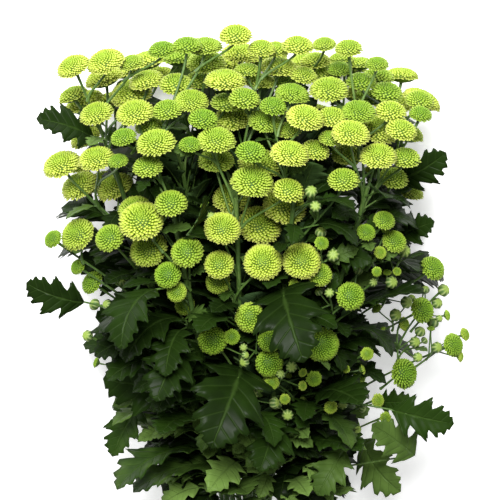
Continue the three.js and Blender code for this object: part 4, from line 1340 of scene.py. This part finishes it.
def shown_aside(leaf):
    """The leaf, or the same leaf turned a little where it would hide a listed head."""
    own = leaf_room(leaf)[0]
    best, least = leaf, area_hidden(own)
    if not least:
        return leaf
    beads.remove(own)
    for may_cross in (False, True):
        for swing, twist in TURNS:
            trial = swung(leaf, swing, twist)
            fresh, lowest = leaf_room(trial)
            hidden = area_hidden(fresh)
            if hidden < least and lowest >= 0 and not meets_head(fresh):
                if may_cross or beads.clear(fresh, -TOUCH):
                    best, least = trial, hidden
        if not least:
            break
    beads.add(leaf_room(best)[0])
    return best


def hiding_leaves():
    return sum(area_hidden(leaf_room(leaf)[0]) > 0 for leaf in leaves)


hiding = hiding_leaves()
leaves = [shown_aside(leaf) for leaf in leaves]
print("leaves that hide a head:", hiding, "then", hiding_leaves())


# %% Throw the smaller leaves
# Where leaves turn lighter towards the bare stems; this change of colour is painted shade of the bunch's
# inside.
LOWNESS = Named(under=350, span=120)


def lowness(leaf):
    """How small and light a leaf is, from 0 high in the bunch to 1 at its bare stems. The lightness is
    painted shade: leaves high in the bunch, under the flowers, are painted darker.
    """
    return min(max((LOWNESS.under - bunch_place(leaf.base)[1]) / LOWNESS.span, 0), 1)


# Sizes and gaps are a start and a spread, in shares of the leaf. A gap's last number is in millimetres.
SMALL_LEAF = Named(
    seed=300000, apart=40, per_stem=46, tries=16, low=190, high=498, size=(0.42, 0.4), dwarfed=0.25,
    gap=(0.2, 0.5, 1), young=0.25, clearance=-1.0,
)


def throw_leaves(stem, rule, fits):
    """The leaves of a rule that fit along a stem, each the first of its seeded tries that does."""
    found = []
    for k in range(rule.per_stem):
        for attempt in range(rule.tries):
            roll = dice(rule.seed + 2000 * stem.owner + rule.apart * k + attempt)
            share = (k + roll()) / rule.per_stem
            leaf = make_leaf(stem, rule.low + (rule.high - rule.low) * share, k, roll)
            leaf.length *= seeded(rule.size, roll) * (1 - rule.dwarfed * lowness(leaf))
            gap = leaf.length * seeded(rule.gap, roll) + rule.gap[2]
            leaf.base = leaf.foot + leaf.tangent * gap
            leaf.young = rule.young * roll()
            if fits(leaf):
                found.append(leaf)
                break
    return found


def finds_room(leaf, clearance):
    """Takes a leaf's room where that is clear and hides no listed head, and says whether it did."""
    fresh, lowest = leaf_room(leaf)
    kept = lowest >= 0 and beads.clear(fresh, clearance) and not hides_head(fresh)
    if kept:
        beads.add(fresh)
    return kept


def fits_outside(leaf):
    return finds_room(leaf, SMALL_LEAF.clearance)


# %% A small leaf in the fork of each stalk
STALK_LEAF = Named(
    seed=500000, tries=8, rise=(25, 25), at=(0.2, 0.55), length=(17, 12), petiole=2.5, bend=(15, 40),
    young=(0.25, 0.4),
)


def way_out(way, roll):
    """A direction square to a stalk, at a seeded turn about it."""
    side, other = side_ways(way)
    angle = 2 * math.pi * roll()
    return side * math.cos(angle) + other * math.sin(angle)


def throw_stalk_leaves(heads, seed):
    found = []
    for i, head in enumerate(heads):
        for attempt in range(STALK_LEAF.tries):
            roll = dice(seed + 20 * i + attempt)
            way = unit(head.base - head.foot)
            out = way_out(way, roll)
            rise = math.radians(seeded(STALK_LEAF.rise, roll))
            tangent = way * math.cos(rise) + out * math.sin(rise)
            normal = way * math.sin(rise) - out * math.cos(rise)
            foot = head.foot + (head.base - head.foot) * seeded(STALK_LEAF.at, roll)
            leaf = Named(
                owner=head.owner, foot=foot, base=foot + tangent * STALK_LEAF.petiole, tangent=tangent,
                normal=normal, aside=np.cross(tangent, normal), length=seeded(STALK_LEAF.length, roll),
                bend=math.radians(seeded(STALK_LEAF.bend, roll)), young=seeded(STALK_LEAF.young, roll),
            )
            if finds_room(leaf, 0):
                found.append(leaf)
                break
    return found


# %% Smaller buds on the shoots
EXTRA_BUD = Named(
    seed=700000, per_shoot=2, tries=12, at=(0.35, 0.35), span=(12, 14), radius=(2.6, 2.2),
    facing=(0.55, 0.8), leaving=(0.8, 0.7), opened=0.35, stalk_radius=0.7, clearance=0.3,
)


def throw_extra_buds():
    found = []
    for i, main in enumerate(buds):
        for k in range(EXTRA_BUD.per_shoot):
            for attempt in range(EXTRA_BUD.tries):
                roll = dice(EXTRA_BUD.seed + 100 * i + 30 * k + attempt)
                way = unit(main.base - main.foot)
                out = way_out(way, roll)
                foot = main.foot + (main.base - main.foot) * seeded(EXTRA_BUD.at, roll)
                span = seeded(EXTRA_BUD.span, roll)
                axis = unit(EXTRA_BUD.facing[0] * out + EXTRA_BUD.facing[1] * way)
                radius = seeded(EXTRA_BUD.radius, roll)
                base = foot + unit(EXTRA_BUD.leaving[0] * out + EXTRA_BUD.leaving[1] * way) * span
                bud = Named(
                    owner=main.owner, foot=foot, base=base, middle=base + axis * BUD.underside * radius,
                    axis=axis, radius=radius, closed=roll() > EXTRA_BUD.opened, thin=True,
                )
                fresh = head_beads(bud, EXTRA_BUD.stalk_radius, 1)
                above = bud.middle[2] > radius + 1
                if above and beads.clear(fresh, EXTRA_BUD.clearance) and not hides_head(fresh):
                    beads.add(fresh)
                    found.append(bud)
                    break
    return found


# %% Leaves that fill the inside
# young=0 gives these inside leaves the darkest leaf colour: painted shade for the deep inside of the bunch.
INNER_LEAF = Named(
    seed=800000, apart=20, per_stem=38, tries=10, low=195, high=504, size=(0.6, 0.35), dwarfed=0,
    gap=(0.1, 0.6, 0), young=0,
)
INSIDE = np.array([1.1, 1.02, 1.1])


def fits_inside(leaf):
    """Whether a leaf is well inside the crown's outline, in no head and behind every listed one."""
    fresh, lowest = leaf_room(leaf)
    inside = all(is_inside(*(np.array(bunch_place(bead[0])) * INSIDE)) for bead in fresh)
    return lowest >= 0 and inside and not meets_head(fresh) and not hides_head(fresh)


extra_buds = throw_extra_buds()
stalk_leaves = throw_stalk_leaves(flowers, STALK_LEAF.seed)
stalk_leaves += throw_stalk_leaves(buds, STALK_LEAF.seed + 10000)
small_leaves = [leaf for stem in stems for leaf in throw_leaves(stem, SMALL_LEAF, fits_outside)]
inner_leaves = [leaf for stem in stems for leaf in throw_leaves(stem, INNER_LEAF, fits_inside)]
print("small leaves", len(small_leaves), "on stalks", len(stalk_leaves), "inside", len(inner_leaves))
print("more buds", len(extra_buds))


# %% [markdown]
# ## Putting the sprays together
# Each spray is three pieces: its flower heads and buds, its leaves, and its stem with all stalks. A head
# is copied to its own place, size and turn. Stalks are curves with a round bevel, which bend from the
# way the stem grows to the way the flower faces.


# The longest florets reach a little past the solid's own outline.
HEAD_REACH = 1.08
SMALL_UNDER = 11.5
# Lengths are in millimetres, apart from ON_FLOOR, which is in metres.
TINT = Named(
    least=0.35, small=0.35, full_radius=15, radius_span=4, low=0.4, low_under=470, low_span=120, bud=0.3,
)
# LEAF_SHADE.large and .small set how much painted shade leaves get from their height in the bunch; .spread is
# each large leaf's own tone.
LEAF_SHADE = Named(large=0.45, spread=0.2, small=0.75)
WAVE = Named(free=0.05, held=0.02)
LOOK_SEED = Named(flower=900, bud=1900, leaf=2900)
STALK = Named(flower=0.975, bud=0.858, thin=0.6, profile=np.array([1.5, 1.1, 1, 0.95, 0.9, 0.9, 1, 1.35]))
RIB = Named(
    at=np.array([0, 0.25, 0.5, 0.78]), profile=np.array([1.5, 1, 0.7, 0.45, 0.2]), radius=0.3,
    thicker=0.008, sunk=0.004, lowest=0.5,
)
KNOTS = Named(stations=60, every=5, swell=0.1)
ON_FLOOR = 0.0001
LARGE_FROM = 50
LEAF_THICKNESS = 0.4


# %% Finish a piece and give it to the frame
def finish_piece(mesh, name, node, materials):
    """Links a finished mesh as one piece that rides on the bunch and stands for its CAD node."""
    for material in materials:
        mesh.materials.append(material)
    mesh.shade_smooth()
    piece = bpy.data.objects.new(name, mesh)
    bpy.context.scene.collection.objects.link(piece)
    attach(piece, "root")
    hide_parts(node)
    return piece


def head_matrix(head, centre, turn):
    side, other = side_ways(head.axis)
    axes = Matrix((Vector(side), Vector(other), Vector(head.axis))).transposed().to_4x4()
    size = Matrix.Scale(HEAD_REACH * head.radius * MM, 4)
    return Matrix.Translation(to_frame(centre)) @ axes @ Matrix.Rotation(turn, 4, "Z") @ size


def press_flat(fresh, floor):
    """Keeps everything on the surface, by moving what would be under it up to it."""
    for vert in fresh:
        vert.co.z = max(vert.co.z, floor)


def yellowness(head, roll):
    """How far a flower has opened from green to yellow. Small and low ones are behind the others."""
    late = TINT.small * max(0, (TINT.full_radius - head.radius) / TINT.radius_span)
    late += TINT.low * min(max((TINT.low_under - bunch_place(head.middle)[1]) / TINT.low_span, 0), 1)
    return min(1, max(0, TINT.least + (1 - TINT.least) * roll() - late))


def heads_piece(owner):
    bm = new_piece_mesh()
    for i, head in enumerate(flowers):
        if head.owner == owner:
            roll = dice(LOOK_SEED.flower + i)
            matrix = head_matrix(head, head.middle - head.axis * FLOWER.underside, 2 * math.pi * roll())
            meshes = SMALL_HEADS if head.radius < SMALL_UNDER else OPEN_HEADS
            mesh = meshes[int(len(meshes) * roll())]
            press_flat(add_copy(bm, mesh, matrix, yellowness(head, roll)), ON_FLOOR)
    for i, head in enumerate(buds + extra_buds):
        if head.owner == owner:
            roll = dice(LOOK_SEED.bud + i)
            mesh = CLOSED_BUD if head.closed else HALF_HEADS[int(len(HALF_HEADS) * roll())]
            matrix = head_matrix(head, head.middle, 2 * math.pi * roll())
            press_flat(add_copy(bm, mesh, matrix, TINT.bud * roll()), ON_FLOOR)
    mesh = as_mesh(bm, f"heads_{owner + 1:02d}")
    return finish_piece(mesh, mesh.name, spray_name(owner), [PETAL, BRACT])


def leaves_piece(owner):
    bm = new_piece_mesh()
    # Leaves are painted darker high in the bunch and lighter towards the bare stems: painted shade, on top of
    # each leaf's own tone.
    for i, leaf in enumerate(leaves):
        if leaf.owner == owner:
            shade = LEAF_SHADE.large * lowness(leaf) + LEAF_SHADE.spread * dice(LOOK_SEED.leaf + i)()
            add_blade(bm, LARGE_BLADE, leaf, shade, WAVE.free)
    for leaf in [leaf for leaf in small_leaves if leaf.owner == owner]:
        mesh = LARGE_BLADE if leaf.length > LARGE_FROM else SMALL_BLADE
        add_blade(bm, mesh, leaf, leaf.young + LEAF_SHADE.small * lowness(leaf), WAVE.free)
    for mesh, held in ((SMALL_BLADE, stalk_leaves), (INNER_BLADE, inner_leaves)):
        for leaf in [leaf for leaf in held if leaf.owner == owner]:
            add_blade(bm, mesh, leaf, leaf.young, WAVE.held)
    mesh = as_mesh(bm, f"leaves_{owner + 1:02d}")
    piece = finish_piece(mesh, mesh.name, spray_name(owner), [LEAF_TOP, LEAF_UNDER])
    solidify = piece.modifiers.new("thickness", "SOLIDIFY")
    solidify.thickness = LEAF_THICKNESS * MM
    solidify.offset = 0
    solidify.material_offset = 1
    return piece


# %% Stems, stalks and petioles as bevelled curves
def add_spline(curve, points, radii):
    spline = curve.splines.new("POLY")
    spline.points.add(len(points) - 1)
    for point, spot, radius in zip(spline.points, to_frame(points), radii):
        point.co = (*spot, 1)
        point.radius = radius * MM


def stalk_path(head, way):
    """From the foot along the stem's way, then over to the head's base along its axis."""
    foot, base = head.foot, head.base
    length = np.linalg.norm(base - foot)
    pulls = (foot, foot + way * 0.3 * length, base - head.axis * 0.25 * length, base)
    straight = [foot + (base - foot) * share for share in (0, 1 / 3, 2 / 3, 1)]
    a, b, c, d = [0.6 * np.asarray(p) + 0.4 * np.asarray(q) for p, q in zip(pulls, straight)]
    shares = np.linspace(0, 1, 8)[:, None]
    return (
        a * (1 - shares) ** 3
        + 3 * b * shares * (1 - shares) ** 2
        + 3 * c * shares**2 * (1 - shares)
        + d * shares**3
    )


def stems_piece(owner, stem):
    curve = bpy.data.curves.new("stems", "CURVE")
    curve.dimensions = "3D"
    curve.bevel_depth = 1
    curve.bevel_resolution = 1
    curve.use_fill_caps = True
    heights = np.linspace(0, BUNCH.fork_at, KNOTS.stations)
    radii = [stem_radius(v) * (1 + KNOTS.swell * (i % KNOTS.every == 0)) for i, v in enumerate(heights)]
    add_spline(curve, [stem_point(stem, v) for v in heights], radii)
    for head in [each for each in flowers + buds + extra_buds if each.owner == owner]:
        thin = hasattr(head, "thin")
        way = unit(head.base - head.foot) if thin else head.way
        radius = STALK.thin if thin else STALK.bud if hasattr(head, "closed") else STALK.flower
        add_spline(curve, stalk_path(head, way), radius * STALK.profile)
    all_leaves = leaves + small_leaves + stalk_leaves + inner_leaves
    for leaf in [each for each in all_leaves if each.owner == owner]:
        ribs = hanging_points(leaf, RIB.at, np.zeros(len(RIB.at)))
        ribs -= leaf.normal * RIB.sunk * leaf.length
        ribs[:, 2] = np.maximum(ribs[:, 2], RIB.lowest)
        radius = RIB.radius + RIB.thicker * leaf.length
        add_spline(curve, np.vstack([leaf.foot, ribs]), radius * RIB.profile)
    holder = bpy.data.objects.new("stems", curve)
    bpy.context.scene.collection.objects.link(holder)
    evaluated = holder.evaluated_get(bpy.context.evaluated_depsgraph_get())
    mesh = bpy.data.meshes.new_from_object(evaluated)
    mesh.name = f"stems_{owner + 1:02d}"
    bpy.data.objects.remove(holder)
    bpy.data.curves.remove(curve)
    bm = bmesh.new()
    bm.from_mesh(mesh)
    cut_height = to_frame(place(0, 1, 0))[1]
    for face in bm.faces:
        at_end = all(vert.co.y < cut_height for vert in face.verts)
        face.material_index = 1 if at_end and len(face.verts) > 4 else 0
    press_flat(bm.verts, 0)
    bm.to_mesh(mesh)
    bm.free()
    return finish_piece(mesh, mesh.name, spray_name(owner), [STEM_SKIN, PITH])


# %% Make all the sprays
def count_triangles(mesh):
    return sum(len(face.vertices) - 2 for face in mesh.polygons)


pieces = []
for stem in stems:
    owner = stem.owner
    pieces += [heads_piece(owner), leaves_piece(owner), stems_piece(owner, stem)]
scene_now = bpy.context.evaluated_depsgraph_get()
counts = [count_triangles(piece.evaluated_get(scene_now).data) for piece in pieces]
print("triangles:", sum(counts), "in all and at most", max(counts), "in a piece")

# %% [markdown]
# ## The rubber band
# The band is a flat strip of natural rubber, stretched round the bare stems. Spinning its small rounded
# section about the bunch's own direction gives a clean ring.


# %% Spin the band
def band_piece():
    bm = bmesh.new()
    inner = (len(STEM.rings) - 1) * STEM.ring_step + stem_radius(BUNCH.band_at) + 0.55
    outer, half, soft = inner + 1.6, 3.0, 0.5
    section = [
        (inner, -half + soft), (inner + soft, -half), (outer - soft, -half), (outer, -half + soft),
        (outer, half - soft), (outer - soft, half), (inner + soft, half), (inner, half - soft),
    ]
    verts = [bm.verts.new((radius * MM, height * MM, 0)) for radius, height in section]
    edges = [bm.edges.new((a, b)) for a, b in zip(verts, verts[1:] + verts[:1])]
    bmesh.ops.spin(
        bm, geom=verts + edges, cent=(0, 0, 0), axis=(0, 1, 0), steps=96, angle=2 * math.pi, use_merge=True,
    )
    bmesh.ops.remove_doubles(bm, verts=bm.verts, dist=1e-6)
    bmesh.ops.recalc_face_normals(bm, faces=bm.faces)
    turn = Matrix.Rotation(BUNCH.lean, 4, "X")
    bmesh.ops.transform(bm, matrix=Matrix.Translation(band_middle) @ turn, verts=bm.verts)
    mesh = as_mesh(bm, "rubber_band")
    return finish_piece(mesh, "rubber_band", "band", [RUBBER])


band_piece()

# %% [markdown]
# ## The floor
# A plain pale sheet, larger than the view, so that the bunch lies on something and nothing competes
# with it. It glows faintly white, though it is no lamp: painted light that lifts the shadows that the
# bunch casts on it.

# %% Floor
floor_mesh = bmesh.new()
bmesh.ops.create_grid(floor_mesh, x_segments=1, y_segments=1, size=4)
floor = bpy.data.objects.new("floor", as_mesh(floor_mesh, "floor"))
# The card glows faintly white, though it is no lamp: painted light that fills the shadows on it.
card = new_material("glowing_white_card", Base_Color=linear("#fafafa"), Roughness=0.9, Emission_Strength=0.4)
floor.data.materials.append(card)
floor.location = (0, 0, -0.0002)
bpy.context.scene.collection.objects.link(floor)
